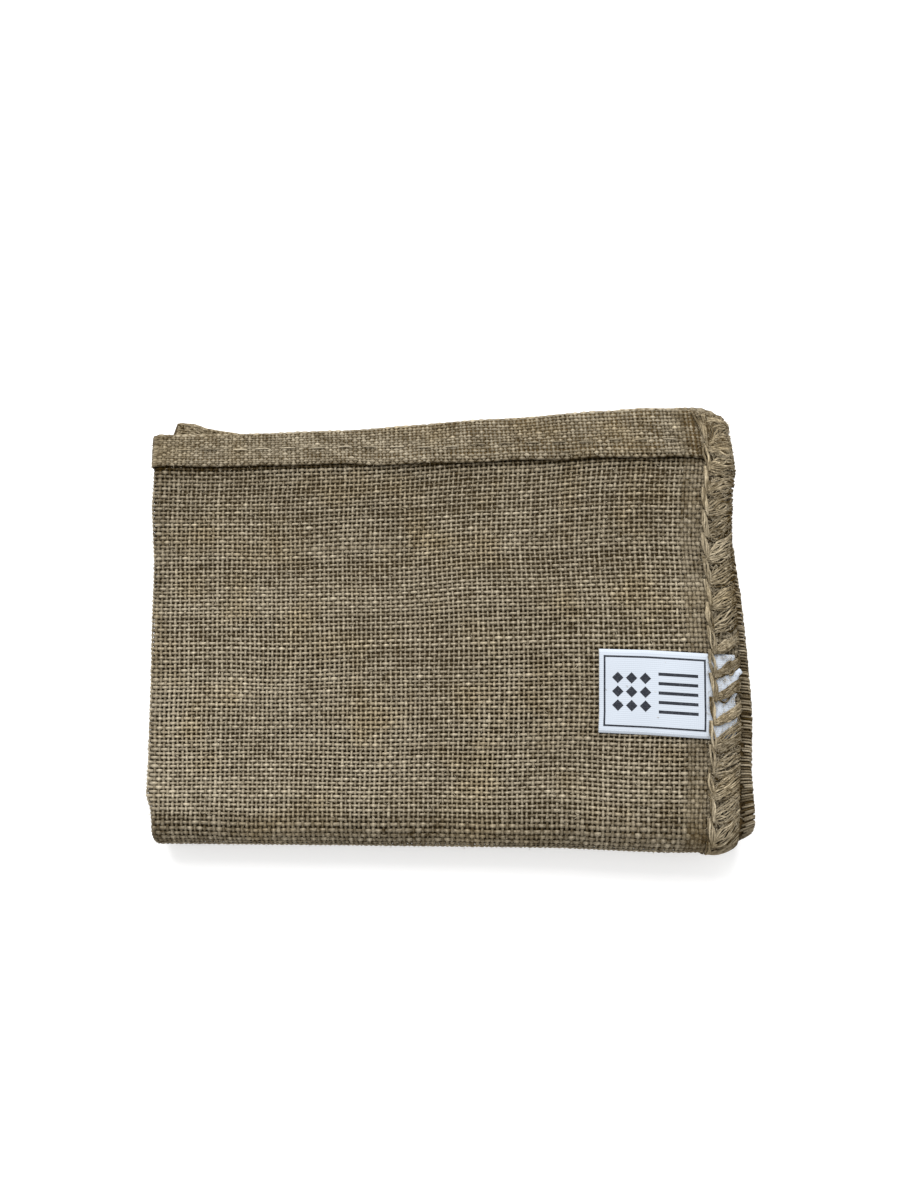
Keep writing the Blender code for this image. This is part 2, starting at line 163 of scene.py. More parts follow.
# How far the rear hem stands out past the front one, in millimetres
REAR_CORNER = (
    # x, y
    (-137.5, 0.0),
    (-135.0, 8.3),
    (-126.0, 7.2),
    (-121.0, 5.2),
    (-114.0, 3.6),
    (-100.0, 1.2),
    (-88.0, 0.0),
)
CORNERS_START_X = 110 * MM
CORNERS_END_X = 140 * MM
FAR_CORNER = 13 * MM
FAR_CORNER_FROM = 0.7
NEAR_CORNER = 6 * MM
NEAR_CORNER_TO = 0.24
HEM_CLIMB = SACK_LENGTH - 36 * MM
HEM_RISEN = SACK_LENGTH - 22.5 * MM
TOP_STEP = (HEM_CLIMB - TOP_PASS) / 6
DROOP = (HEM_CLIMB, HEM_RISEN)
# Side edges of the cloth along the sack, in millimetres
SEAM_EDGES = (
    # from bottom, upper x, lower x
    (0.0, 134.6, 133.6),
    (INNER_NEAR_BEND, 134.2, 135.4),
    (FAR_BEND, 135.0, 134.4),
    (SECOND_PASS, 134.8, 134.6),
    (NEAR_BEND, 133.2, 141.0),
    (TOP_PASS, 132.8, 141.4),
    (TOP_PASS + TOP_STEP, 133.8, 140.2),
    (TOP_PASS + 2 * TOP_STEP, 135.2, 141.5),
    (TOP_PASS + 3 * TOP_STEP, 135.6, 140.2),
    (TOP_PASS + 4 * TOP_STEP, 135.0, 138.2),
    (TOP_PASS + 5 * TOP_STEP, 133.6, 134.8),
    (HEM_CLIMB, 134.8, 133.8),
    (HEM_RISEN, 136.8, 135.0),
    (SACK_LENGTH, 133.6, 132.6),
)
FOLD_LINE = (
    # from bottom, x in millimetres
    (0.0, -141.3),
    (NEAR_BEND, -141.0),
    (TOP_PASS, -140.2),
    (TOP_PASS + 6 * MM, -140.8),
    (TOP_PASS + 13 * MM, -143.2),
    (TOP_PASS + 60 * MM, -142.0),
    (TOP_PASS + 130 * MM, -141.3),
    (HEM_CLIMB, -143.0),
    (HEM_RISEN, -144.0),
    (SACK_LENGTH, -143.3),
)
# Flat widths: half of the lengthwise bend, measured on the outer wall, and from there to a seam
HALF_BEND = math.pi / 2 * (LAYER_PITCH + WALL_OFFSET)
HALF_WIDTH = 276 * MM
SEAM_SIDE = HALF_BEND + HALF_WIDTH

# The tab, measured along the top pass from the near fold
LABEL_NEAR = TOP_PASS + 41.7 * MM
LABEL_FAR = TOP_PASS + 80.0 * MM
LABEL_WIDTH = 64.7 * MM
LABEL_UNDER_EDGE = 1.2 * MM
LABEL_SLANT = -0.035
LABEL_THICK = 0.35 * MM

# The hem's running stitches: their spacing, and how far above the hem's inner edge they run
HEM_STITCH = 13 * MM
HEM_STITCH_LINE = (
    # share of the way from the fold to the seam, millimetres
    (0.0, 8.0),
    (0.6, 7.6),
    (0.8, 7.6),
    (1.0, 8.2),
)
HEM_STITCH_SHARE = 0.52
HEM_THREAD_RADIUS = 0.38 * MM

# The overedge seams: how far the chain lies inside the edge, and the number of stitches that have been made
# by each place along the sack
STITCH_LEG = 12.5 * MM
STITCH_ENDS = (0.0, SECOND_PASS, NEAR_BEND, TOP_PASS, SACK_LENGTH)
STITCH_COUNTS = (0, 38, 56, 59, 77)
# Their strands: sides of a tube, numbers in each form, how far a fan and a wrap climb along the sack, and
# how much higher the seam lies over the tab
STRAND_SIDES = 4
FAN_STRANDS = 15
WRAP_STRANDS = 8
CHAIN_STRANDS = 6
CORNER_STRANDS = 34
FAN_LEAN = 6.6 * MM
WRAP_LEAN = 2.2 * MM
LABEL_LIFT = 0.55 * MM
# How pale the middle strands are, from 0 to 1
FAN_TONE = 0.51
CHAIN_TONE = 0.46
CORNER_TONE = 0.30
UPPER_WRAP_TONE = 0.36
LOWER_WRAP_TONE = 0.43

# Sine waves that make up a ripple
RIPPLE_WAVES = 5


# ------------------------------------------------------------------ shapes


def columns(table):
    """A table's columns as arrays."""
    return np.array(table, float).T


def soft_step(value, start, end):
    """0 before start, 1 after end, and the cubic 3u^2 - 2u^3 of the share u between them."""
    share = np.clip((value - start) / (end - start), 0, 1)
    return share * share * (3 - 2 * share)


def walk(rows, start, heading, distance, offset):
    """Points at a distance along straight runs and round arcs, set off to the left of the way.

    A run adds its length times (cos, sin) of the heading.  An arc of radius r adds r (sin new - sin old,
    cos old - cos new) of the heading, the other way round where it turns right.  The offset goes along
    (-sin, cos) of the heading.
    """
    at = np.array(start, float)
    angle = heading
    gone = 0.0
    first = at[0] + distance * math.cos(angle)
    second = at[1] + distance * math.sin(angle)
    facing = np.full_like(first, angle)
    for run, turn, radius in rows:
        on = distance >= gone
        first = np.where(on, at[0] + (distance - gone) * math.cos(angle), first)
        second = np.where(on, at[1] + (distance - gone) * math.sin(angle), second)
        at += run * np.array([math.cos(angle), math.sin(angle)])
        gone += run
        if not turn:
            continue
        side = math.copysign(1, turn)
        swing = angle + side * np.clip((distance - gone) / radius, 0, abs(turn))
        on = distance >= gone
        first = np.where(on, at[0] + side * radius * (np.sin(swing) - math.sin(angle)), first)
        second = np.where(on, at[1] - side * radius * (np.cos(swing) - math.cos(angle)), second)
        facing = np.where(on, swing, facing)
        turned = angle + turn
        chord = [math.sin(turned) - math.sin(angle), math.cos(angle) - math.cos(turned)]
        at += side * radius * np.array(chord)
        angle = turned
        gone += radius * abs(turn)
    return first - offset * np.sin(facing), second + offset * np.cos(facing)


def swell(x):
    """How much higher the packet stands at this x than at the lengthwise fold: 1, rising to SEAM_SWELL."""
    return 1 + (SEAM_SWELL - 1) * soft_step(x, SWELL_FROM_X, SWELL_TO_X)


def settle(x, y, z):
    """The even packet stretched between its real near and far edges, and raised in slight waves.

    A place keeps its share of the way from the near edge to the far edge.  The right corners are drawn in
    by the cube of the distance past CORNERS_START_X, and the left side is skewed in proportion to y.
    Heights are multiplied by swell(x) and by 1 + WAVE times a sum of three slow sine products.
    """
    far_x, far_y = columns(FAR_EDGE) * MM
    near_x, near_y = columns(NEAR_EDGE) * MM
    share = (y - NOMINAL_NEAR_Y) / (NOMINAL_FAR_Y - NOMINAL_NEAR_Y)
    near = np.interp(x, near_x, near_y)
    far = np.interp(x, far_x, far_y)
    new_y = near + share * (far - near)
    corner = np.clip((x - CORNERS_START_X) / (CORNERS_END_X - CORNERS_START_X), 0, None) ** 3
    new_y -= FAR_CORNER * corner * soft_step(share, FAR_CORNER_FROM, 1.0)
    new_y += NEAR_CORNER * corner * (1 - soft_step(share, 0.0, NEAR_CORNER_TO))
    new_x = x - SKEW * (y / NOMINAL_FAR_Y) * (1 - soft_step(x, FOLD_MIDDLE_X, CORNERS_START_X))
    wave = (
        np.sin(x / (38 * MM) + 0.6) * np.cos(y / (31 * MM) - 0.4)
        + 0.8 * np.sin(y / (24 * MM) + x / (90 * MM) + 2.0)
        + 0.6 * np.cos(x / (22 * MM) - y / (55 * MM))
    )
    new_z = (z - FLOOR_LEVEL) * swell(x) * (1 + WAVE * wave)
    return np.stack([new_x - ORIGIN_X, new_y - ORIGIN_Y, new_z], axis=-1)


def folded(side, along, off, proud=0.0, beyond=0.0):
    """Places on the flat sack carried through its folds.

    The lengthwise bend is a half circle about FOLD_MIDDLE_X whose radius is LAYER_PITCH plus off, the
    rest of each half runs straight to its seam, and walk() then lays the doubled sack in its passes.
    proud stands out of the cloth and beyond stands out past the seam.
    """
    across = side / HALF_BEND
    straight = np.sign(side) * (1 + (np.abs(side) - HALF_BEND) / HALF_WIDTH)
    across = np.where(np.abs(side) > HALF_BEND, straight, across)
    mouth = soft_step(along, HEM_CLIMB, HEM_RISEN)
    radius = LAYER_PITCH + HEM_LIFT * mouth
    turn = np.clip(across, -1, 1) * HALF_TURN / 2
    from_bottom, bend_x = columns(FOLD_LINE)
    middle = MM * np.interp(along, from_bottom, bend_x) + (2 * HEM_LIFT - MOUTH_BULGE) * mouth
    bottom, upper, lower = columns(SEAM_EDGES)
    edge = MM * np.where(side > 0, np.interp(along, bottom, upper), np.interp(along, bottom, lower))
    x = middle - (radius + off) * np.cos(turn)
    x = x + np.clip(np.abs(across) - 1, 0, None) * (edge - middle) + beyond
    pinch = SQUEEZE + (1 - SQUEEZE) * soft_step(edge - x, PINCHED_TO, PINCH_ENDS)
    rise = pinch * (radius + off) * np.sin(turn) - HEM_LIFT * mouth
    rise = rise - MOUTH_DROOP * np.interp(along, DROOP, (0, 1))
    rise = rise + np.sign(side) * proud / swell(x)
    corner_x, corner_y = columns(REAR_CORNER) * MM
    slip = np.interp(x, corner_x, corner_y) * (across < -1) * soft_step(along, HEM_CLIMB, SACK_LENGTH)
    y, z = walk(PASSES, PASSES_START, HALF_TURN, along, rise)
    return settle(x, y + slip, z)


def hem_width(side):
    """Width of the mouth hem at this distance from the lengthwise fold."""
    shares, widths = columns(HEM_WIDTHS)
    return MM * np.interp((np.abs(side) - HALF_BEND) / HALF_WIDTH, shares, widths)


def drawn_in(side, cut):
    """The cut with each hem narrowed to hem_width(side), which moves its free edge towards its bend."""
    narrow = 1 - hem_width(side) / HEM_WIDTH
    on_first, on_last = np.clip(HEM_WIDTH - cut, 0, None), np.clip(cut - CUT_LENGTH + HEM_WIDTH, 0, None)
    return cut + narrow * (on_first - on_last)


def ripple(seed, first, second, length):
    """The sum of five sine waves of about this length, each in its own direction, from -1 to 1 or so."""
    draw = np.random.default_rng(seed)
    total = 0.0
    for _ in range(RIPPLE_WAVES):
        way = draw.uniform(0, 2 * math.pi)
        step = 2 * math.pi / (length * draw.uniform(0.7, 1.4))
        start = draw.uniform(0, 2 * math.pi)
        total = total + np.sin(step * (first * math.cos(way) + second * math.sin(way)) + start)
    return total / math.sqrt(RIPPLE_WAVES)


def unevenness(draw, place, lengths):
    """For each row of place, a sum of sine waves of these lengths with starts of its own."""
    total = np.zeros_like(place)
    for length in lengths:
        start = draw.uniform(0, 2 * math.pi, (len(place), 1))
        stretch = draw.uniform(0.75, 1.35, (len(place), 1))
        total += np.sin(2 * math.pi * place / (length * stretch) + start)
    return total / math.sqrt(len(lengths))


def about(draw, middle, spread, size):
    """Normal draws of this size that lie spread about middle."""
    return middle + spread * draw.normal(size=size)


def between(values):
    """Every value along the last axis, with the mean of each neighbouring pair put between them."""
    filled = np.empty(values.shape[:-1] + (2 * values.shape[-1] - 1,))
    filled[..., ::2] = values
    filled[..., 1::2] = (values[..., 1:] + values[..., :-1]) / 2
    return filled


def tube_faces(tubes, rings, sides):
    """Quads of closed tubes whose vertices run side by side, then ring by ring, then tube by tube."""
    first = np.arange(tubes)[:, None, None] * rings * sides
    ring = np.arange(rings - 1)[None, :, None] * sides
    here = np.arange(sides)
    after = (here + 1) % sides
    corners = [ring + here, ring + after, ring + sides + after, ring + sides + here]
    walls = np.stack([first + corner for corner in corners], axis=-1).reshape(-1, 4)
    fan = np.array([[0, 2 * k + 1, 2 * k + 2, 2 * k + 3] for k in range(sides // 2 - 1)])
    caps = np.concatenate([first + fan[:, ::-1], first + (rings - 1) * sides + fan], axis=1)
    return np.concatenate([walls, caps.reshape(-1, 4)])


def grid_faces(rows, across):
    """Quads of a grid whose vertices run across and then row by row."""
    start = (np.arange(rows - 1)[:, None] * across + np.arange(across - 1)[None, :]).ravel()
    return np.stack([start, start + 1, start + across + 1, start + across], axis=-1)


def side_walls(quads, shift):
    """Quads that close the rim between a sheet's two faces: one for every edge that only one quad has."""
    starts = quads.ravel()
    ends = np.roll(quads, -1, axis=1).ravel()
    width = quads.max() + 1
    forward = starts * width + ends
    lone = ~np.isin(ends * width + starts, forward)
    a, b = starts[lone], ends[lone]
    return np.stack([b, a, a + shift, b + shift], axis=-1)


def two_faced(quads, count):
    """Quads of a closed sheet whose two faces have count vertices each: both faces and the rim."""
    return np.concatenate([quads, quads[:, ::-1] + count, side_walls(quads, count)])


def signed_volume(points, quads):
    """Sum of a . (b x c) over both triangles of every quad; positive when the faces look outward."""
    a, b, c, d = (points[quads[:, k]] for k in range(4))
    return float(np.sum(a * (np.cross(b, c) + np.cross(c, d))))


def make_piece(name, points, quads, material, tone=None, layout=None):
    """A mesh object from quads, with an even outward facing, its tone and its surface coordinates."""
    points = points.reshape(-1, 3)
    if signed_volume(points - points.mean(axis=0), quads) < 0:
        quads = quads[:, ::-1]
    mesh = bpy.data.meshes.new(name)
    mesh.vertices.add(len(points))
    mesh.vertices.foreach_set("co", points.astype(np.float32).ravel())
    mesh.loops.add(quads.size)
    mesh.loops.foreach_set("vertex_index", quads.astype(np.int32).ravel())
    mesh.polygons.add(len(quads))
    mesh.polygons.foreach_set("loop_start", np.arange(0, quads.size, 4, dtype=np.int32))
    mesh.update(calc_edges=True)
    mesh.shade_smooth()
    if tone is not None:
        tones = mesh.attributes.new("tone", "FLOAT", "POINT").data
        tones.foreach_set("value", tone.astype(np.float32).ravel())
    if layout is not None:
        spread = layout.reshape(-1, 2)[quads.ravel()]
        mesh.uv_layers.new(name="cloth").data.foreach_set("uv", spread.astype(np.float32).ravel())
    mesh.materials.append(material)
    piece = bpy.data.objects.new(name, mesh)
    bpy.context.scene.collection.objects.link(piece)
    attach(piece, "root")
    return piece


def strand(paths, radius, outward):
    """Tubes along paths (tubes, points, 3): a ring of STRAND_SIDES vertices about each point.

    A ring lies in the plane across the path, with one axis as near as can be to outward, and its vertices
    are at radius (cos, sin) of even turns.  radius is one number or one for each point.
    """
    outward = np.asarray(outward, float)
    way = np.gradient(paths, axis=1)
    way /= np.linalg.norm(way, axis=-1, keepdims=True)
    up = outward - np.sum(outward * way, axis=-1, keepdims=True) * way
    up /= np.linalg.norm(up, axis=-1, keepdims=True)
    level = np.cross(way, up)
    turn = 2 * math.pi * (np.arange(STRAND_SIDES) + 0.5) / STRAND_SIDES
    wide = np.broadcast_to(radius, paths.shape[:2])[..., None, None]
    ring = level[:, :, None] * np.cos(turn)[:, None] + up[:, :, None] * np.sin(turn)[:, None]
    return paths[:, :, None] + wide * ring


# ------------------------------------------------------------------ materials


class Value:
    """A shader socket that can be used in Python expressions; each operation adds a Math node."""

    def __init__(self, maker, socket):
        self.maker = maker
        self.socket = socket

    def _with(self, operation, *others):
        return self.maker.add("ShaderNodeMath", {"operation": operation}, dict(enumerate(others)))

    def __add__(self, other):
        return self._with("ADD", self, other)

    def __sub__(self, other):
        return self._with("SUBTRACT", self, other)

    def __rsub__(self, other):
        return self._with("SUBTRACT", other, self)

    def __mul__(self, other):
        return self._with("MULTIPLY", self, other)

    def __truediv__(self, other):
        return self._with("DIVIDE", self, other)

    def __pow__(self, other):
        return self._with("POWER", self, other)

    __radd__ = __add__
    __rmul__ = __mul__

    def sin(self):
        return self._with("SINE", self)

    def size(self):
        return self._with("ABSOLUTE", self)

    def wrap(self):
        return self._with("FRACT", self)

    def least(self, other):
        return self._with("MINIMUM", self, other)

    def most(self, other):
        return self._with("MAXIMUM", self, other)

    def below(self, other):
        return self._with("LESS_THAN", self, other)

    def clamped(self, top=1.0):
        """The value kept between 0 and top."""
        return self.most(0.0).least(top)

    def within(self, reach, middle):
        """1 where the value is less than reach away from middle, and 0 elsewhere."""
        return (self - middle).size().below(reach)

    def step(self, start, end):
        """A smooth step from 0 at start to 1 at end."""
        return self.maker.add(
            "ShaderNodeMapRange",
            {"interpolation_type": "SMOOTHSTEP"},
            {"Value": self, "From Min": start, "From Max": end},
        )


class Finish:
    """One material in the making."""

    def __init__(self, name):
        self.material = bpy.data.materials.new(name)
        self.material.use_nodes = True
        self.tree = self.material.node_tree
        self.shader = self.tree.nodes["Principled BSDF"]

    def add(self, kind, settings=None, inputs=None, output=0):
        """A node of this kind, with its settings made first and then its sockets."""
        node = self.tree.nodes.new(kind)
        for key, value in (settings or {}).items():
            setattr(node, key, value)
        for key, value in (inputs or {}).items():
            self.feed(node.inputs[key], value)
        return Value(self, node.outputs[output])

    def feed(self, socket, value):
        """Links a value to a socket, or sets the socket to a number or colour."""
        if isinstance(value, Value):
            self.tree.links.new(value.socket, socket)
        elif socket.type == "RGBA":
            socket.default_value = (*value, 1.0)
        else:
            socket.default_value = value

    def mix(self, share, first, second, blend="MIX"):
        """The colour that is first where share is 0, and second (or their product) where it is 1."""
        return self.add(
            "ShaderNodeMix", {"data_type": "RGBA", "blend_type": blend},
            {"Factor": share, 6: first, 7: second}, output=2,
        )

    def place(self, stretch=(1.0, 1.0, 1.0)):
        """Object coordinates, each multiplied by its own number."""
        coordinates = self.add("ShaderNodeTexCoord", output=3)
        return self.add("ShaderNodeMapping", {}, {0: coordinates, 3: stretch})

    def noise(self, place, scale, detail=3.0, rough=0.55):
        """Soft noise about 0.5, with scale lumps to a metre."""
        inputs = {"Vector": place, "Scale": scale, "Detail": detail, "Roughness": rough}
        return self.add("ShaderNodeTexNoise", {}, inputs)

    def tone(self):
        """The tone that each vertex carries."""
        return self.add("ShaderNodeAttribute", {"attribute_name": "tone"}, output=2)

    def parts(self, name):
        """The two coordinates of a surface layout of this name."""
        layout = self.add("ShaderNodeUVMap", {"uv_map": name})
        split = self.add("ShaderNodeSeparateXYZ", {}, {0: layout})
        return split, Value(self, split.socket.node.outputs[1])

    def bump(self, height, strength, distance):
        """A normal bent as if the surface stood up by distance where height is 1."""
        inputs = {"Strength": strength, "Distance": distance, "Height": height}
        return self.add("ShaderNodeBump", {}, inputs)

    def set(self, **inputs):
        """Sets the shader's sockets by name, with _ for a space, and returns the material."""
        for key, value in inputs.items():
            self.feed(self.shader.inputs[key.replace("_", " ")], value)
        return self.material


DULL = 0.1
BROWN_TINT = (1.0, 0.90, 0.68)


def yarn_finish(name, settings, stretch, light="jute_light"):
    """Dull jute: a share of the way from the dark colour to the light one, with brown patches.

    The share is the tone, plus 0.95 of fine streaks and 0.12 of broad stains, both about zero, and it is
    raised to the power 1.5.  stretch is the number of streaks to a metre in x, y and z.
    """
    look = Finish(name)
    streaks = look.noise(look.place(stretch), 1.0, 4.0, 0.65)
    stain = look.noise(look.place(), 30.0, 2.0)
    share = look.tone() + (streaks - 0.5) * 0.95 + (stain - 0.5) * 0.12
    colour = look.mix(share.clamped() ** 1.5, settings.jute_dark, getattr(settings, light))
    brown = ((look.noise(look.place(), 38.0, 3.0) - 0.50) * 2.2).clamped(0.4)
    colour = look.mix(brown, colour, BROWN_TINT, "MULTIPLY")
    normal = look.bump(streaks, 0.5, 0.35 * MM)
    return look.set(Base_Color=colour, Roughness=0.9, Normal=normal, Specular_IOR_Level=DULL)


def sheet_finish(name, settings):
    """Plain weave on the cloth's own layout: the inner colours, painted shade for the gaps between the
    yarns above, where tone is 0, and bare cloth where it is 1.

    Yarn ribs are squared sines of the layout's coordinates over the pitches, and the cloth is light where
    the two ribs add up.  Bare cloth shows mainly its lengthwise ribs, broken up by fibres.
    """
    look = Finish(name)
    side, along = look.parts("cloth")
    column = (side / SHEET_COLUMN_PITCH * math.pi).sin()
    row = (along / ROW_PITCH * math.pi).sin()
    over_column = column * column
    over_row = row * row
    gaps = (over_column + over_row).step(0.25, 0.7)
    blotch = look.noise(look.place(), 120.0, 3.0)
    share = (gaps * 0.7 + (blotch - 0.5) * 0.5).clamped()
    fibres = look.noise(look.place(), 900.0, 2.0)
    bare = (share * (over_column.step(0.02, 0.5) * 0.7 + 0.3) + (fibres - 0.5) * 1.6).clamped()
    normal = look.bump(over_column.most(over_row), 0.7, 0.6 * MM)
    # Painted shade: the inner layers are coloured dark so that the gaps between the yarns above look shaded
    inner = look.mix(share, settings.inner_painted_shade_gaps, settings.inner_painted_shade_yarns)
    colour = look.mix(look.tone(), inner, look.mix(bare, settings.jute_dark, settings.jute_bare))
    return look.set(Base_Color=colour, Roughness=0.92, Normal=normal, Specular_IOR_Level=DULL)


# Length and width of the tab's tape, in millimetres
TAPE_SIZE = (64, 39)
# Its print, as shares of its length and width: the middle of the frame, how far its lines lie from there,
# half their thickness and how far they reach
FRAME_MIDDLE = (0.405, 0.503)
FRAME_HALF = (0.366, 0.412)
FRAME_LINE = (0.0068, 0.0112)
FRAME_REACH = (0.373, 0.424)
# The ruled lines: how many to the tab's width, half of one as a share of its cell, and the block's half
# width, half height and middle
RULED_LINES = 9.0
RULED_HALF_LINE = 0.17
RULED_HALF = (0.145, 0.27)
RULED_MIDDLE = (0.575, 0.5)
# The lozenges: one cell in millimetres, where the first starts, half a lozenge, and the block
LOZENGE_CELL = 6.4
LOZENGE_START = (0.085, 0.253)
LOZENGE_SIZE = 0.42
LOZENGE_HALF = (0.149, 0.245)
LOZENGE_MIDDLE = (0.235, 0.5)
# Ribs of the tape to its width and length
TAPE_RIBS = (42, 66)


def tape_finish(name, settings):
    """Ribbed white tape with a thin frame, ruled lines and a lattice of lozenges printed on it.

    Each line is where a coordinate lies within a reach of its middle, and a lozenge is where the distances
    from its cell's middle, right plus up, add up to less than its size.
    """
    look = Finish(name)
    right, up = look.parts("cloth")
    ribs_up, ribs_right = (2 * math.pi * count for count in TAPE_RIBS)
    ribs = (up * ribs_up).sin() * 0.5 + (right * ribs_right).sin() * 0.35
    edge_right = (right - FRAME_MIDDLE[0]).size()
    edge_up = (up - FRAME_MIDDLE[1]).size()
    sides = edge_right.within(FRAME_LINE[0], FRAME_HALF[0]) * edge_up.below(FRAME_REACH[1])
    ends = edge_up.within(FRAME_LINE[1], FRAME_HALF[1]) * edge_right.below(FRAME_REACH[0])
    ruled = (up * RULED_LINES).wrap().within(RULED_HALF_LINE, 0.5)
    ruled = ruled * up.within(RULED_HALF[1], RULED_MIDDLE[1])
    ruled = ruled * right.within(RULED_HALF[0], RULED_MIDDLE[0])
    cell_right = ((right - LOZENGE_START[0]) * (TAPE_SIZE[0] / LOZENGE_CELL)).wrap() - 0.5
    cell_up = ((up - LOZENGE_START[1]) * (TAPE_SIZE[1] / LOZENGE_CELL)).wrap() - 0.5
    lozenge = (cell_right.size() + cell_up.size()).below(LOZENGE_SIZE)
    lozenge = lozenge * right.within(LOZENGE_HALF[0], LOZENGE_MIDDLE[0])
    lozenge = lozenge * up.within(LOZENGE_HALF[1], LOZENGE_MIDDLE[1])
    print_mask = sides.most(ends).most(ruled).most(lozenge)
    fade = look.noise(look.place(), 900.0, 2.0)
    inked = look.mix(print_mask * (0.99 + (fade - 0.5) * 0.2), settings.tape_white, settings.tape_ink)
    normal = look.bump(ribs + fade * 0.6, 0.25, 0.2 * MM)
    return look.set(Base_Color=inked, Roughness=0.62, Normal=normal, Specular_IOR_Level=0.2)


def floor_finish(name, settings):
    """A pale floor that glows a little, so that shadows on it stay faint."""
    look = Finish(name)
    look.set(Emission_Color=(1.0, 1.0, 1.0), Emission_Strength=0.3)
    return look.set(Base_Color=settings.floor_colour, Roughness=0.9)


# ------------------------------------------------------------------ the weave

# Spacing of the yarns: across the cloth, in the sheet's pattern and by the rows
OPEN_PITCH = 2.22 * MM
FOLD_PITCH = 2.2 * MM
SHEET_COLUMN_PITCH = 2.31 * MM
ROW_PITCH = 2.12 * MM
# How far short of the seam's edge the yarns stop
SEAM_CLEAR = 0.7 * MM
LAST_SIDE = SEAM_SIDE - SEAM_CLEAR
# The strip of closer weave beside the seam
CLOSE_STRIP = 25 * MM
# One yarn: how far it rises and falls, half its height, and how long its thick and thin places are
CRIMP = 0.34 * MM
YARN_HALF_HIGH = 0.38 * MM
YARN_SWELLS = (8 * MM, 19 * MM, 43 * MM)
JITTER = 0.07 * MM
# Middle tones
COLUMN_TONE = 0.485
ROW_TONE = 0.525
# Thick places of the weave
SLUBS_IN_ROWS = (
    # side, along, half of its width, half of its height, how much thicker
    (HALF_BEND + 92 * MM, TOP_PASS + 133.5 * MM, 26 * MM, 1.1 * MM, 0.75),
    (HALF_BEND + 40 * MM, TOP_PASS + 62.0 * MM, 18 * MM, 1.0 * MM, 0.45),
    (HALF_BEND + 190 * MM, TOP_PASS + 40.0 * MM, 22 * MM, 1.0 * MM, 0.5),
    (HALF_BEND + 150 * MM, TOP_PASS + 96.0 * MM, 14 * MM, 1.0 * MM, 0.4),
    (HALF_BEND + 18 * MM, TOP_PASS + 150.0 * MM, 20 * MM, 1.0 * MM, 0.5),
)
SLUBS_IN_COLUMNS = (
    (HALF_BEND + 231 * MM, TOP_PASS + 130 * MM, 1.1 * MM, 60 * MM, 0.4),
    (HALF_BEND + 120 * MM, TOP_PASS + 50 * MM, 1.1 * MM, 24 * MM, 0.35),
)


def yarn_places(seed, first, last, pitch_first, pitch_last, spread):
    """Yarn places from first to last, whose spacing goes from one pitch to the other with some spread."""
    draw = np.random.default_rng(seed)
    count = max(2, int(round((last - first) / ((pitch_first + pitch_last) / 2))))
    steps = np.linspace(pitch_first, pitch_last, count)
    steps = steps * (1 + spread * np.clip(draw.normal(size=count), -2, 2))
    places = np.concatenate([[0.0], np.cumsum(steps)])
    return first + places * (last - first) / places[-1]


def crossings(seed, column_sides, row_alongs):
    """side and along of every crossing, rows by columns: straight lines that wander and jitter a little."""
    side, along = np.meshgrid(column_sides, row_alongs)
    jitter = about(np.random.default_rng(seed), 0.0, JITTER, (2,) + side.shape)
    side_new = side + 0.22 * MM * ripple(seed + 1, side, along, 45 * MM) + jitter[0]
    along_new = along + 0.30 * MM * ripple(seed + 2, side, along, 60 * MM) + jitter[1]
    return side_new - bend_taken(side_new, along_new), along_new


def bend_taken(side, along):
    """Cloth that the wider lengthwise bend takes up under the hem, shared out from the fold to the seam."""
    bent = np.clip(np.abs(side) / HALF_BEND, 0, 1)
    left = 1 - np.clip((np.abs(side) - HALF_BEND) / HALF_WIDTH, 0, 1)
    from_bottom, bend_x = columns(FOLD_LINE)
    moved = MM * (np.interp(along, from_bottom, bend_x) - FOLD_MIDDLE_X / MM)
    moved = moved + (2 * HEM_LIFT - MOUTH_BULGE) * soft_step(along, HEM_CLIMB, HEM_RISEN)
    return np.sign(side) * bent * left * moved


def yarns(side, along, off, over, width, tone, seed, lateral):
    """Ring points and tones of yarns laid over and under each other.

    side, along and off are (yarns, crossings), over is 1 where the yarn is on top and -1 where it is
    below.  The centreline rises and falls by the crimp, and each ring is a diamond that is widest where
    the yarn is on top.  lateral is 0 for yarns that run along the sack and 1 for those that run across.
    The tone is higher where the yarn is thick; painted light raises it where the yarn is on top, and
    painted shade lowers it where the yarn dips under.
    """
    draw = np.random.default_rng(seed)
    lift = between(over * CRIMP)
    centre_side = between(side)
    centre_along = between(along)
    run = centre_side if lateral else centre_along
    swing = unevenness(draw, run, YARN_SWELLS)
    grain = draw.normal(size=run.shape)
    half_wide = between(width) / 2 * (1 + 0.09 * swing + 0.06 * grain) * (0.92 + 0.08 * lift / CRIMP)
    half_high = YARN_HALF_HIGH * (1 + 0.08 * swing)
    turn = np.arange(4) * math.pi / 2
    out = half_wide[..., None] * np.cos(turn)
    rise = half_high[..., None] * np.sin(turn)
    ring_side = centre_side[..., None] + (0 if lateral else out)
    ring_along = centre_along[..., None] + (out if lateral else 0)
    points = folded(ring_side, ring_along, between(off)[..., None] + lift[..., None] + rise)
    # Painted light and shade: paler where the yarn rides on top, darker where it dips under its neighbour
    shade = between(tone) + 0.045 * swing + 0.065 * grain + 0.16 * lift / CRIMP
    return points, np.broadcast_to(shade[..., None], shade.shape + (4,))


def slub_gain(side, along, slubs, side_power, along_power):
    """How much thicker yarns are at slubs: the product of 1 + thicker e^-(s^side_power + a^along_power).

    s and a are the distances from a slub's middle in half widths and half heights.
    """
    gain = 1.0
    for at_side, at_along, half_side, half_along, thicker in slubs:
        s, a = (side - at_side) / half_side, (along - at_along) / half_along
        gain = gain * (1 + thicker * np.exp(-(s**side_power) - a**along_power))
    return gain


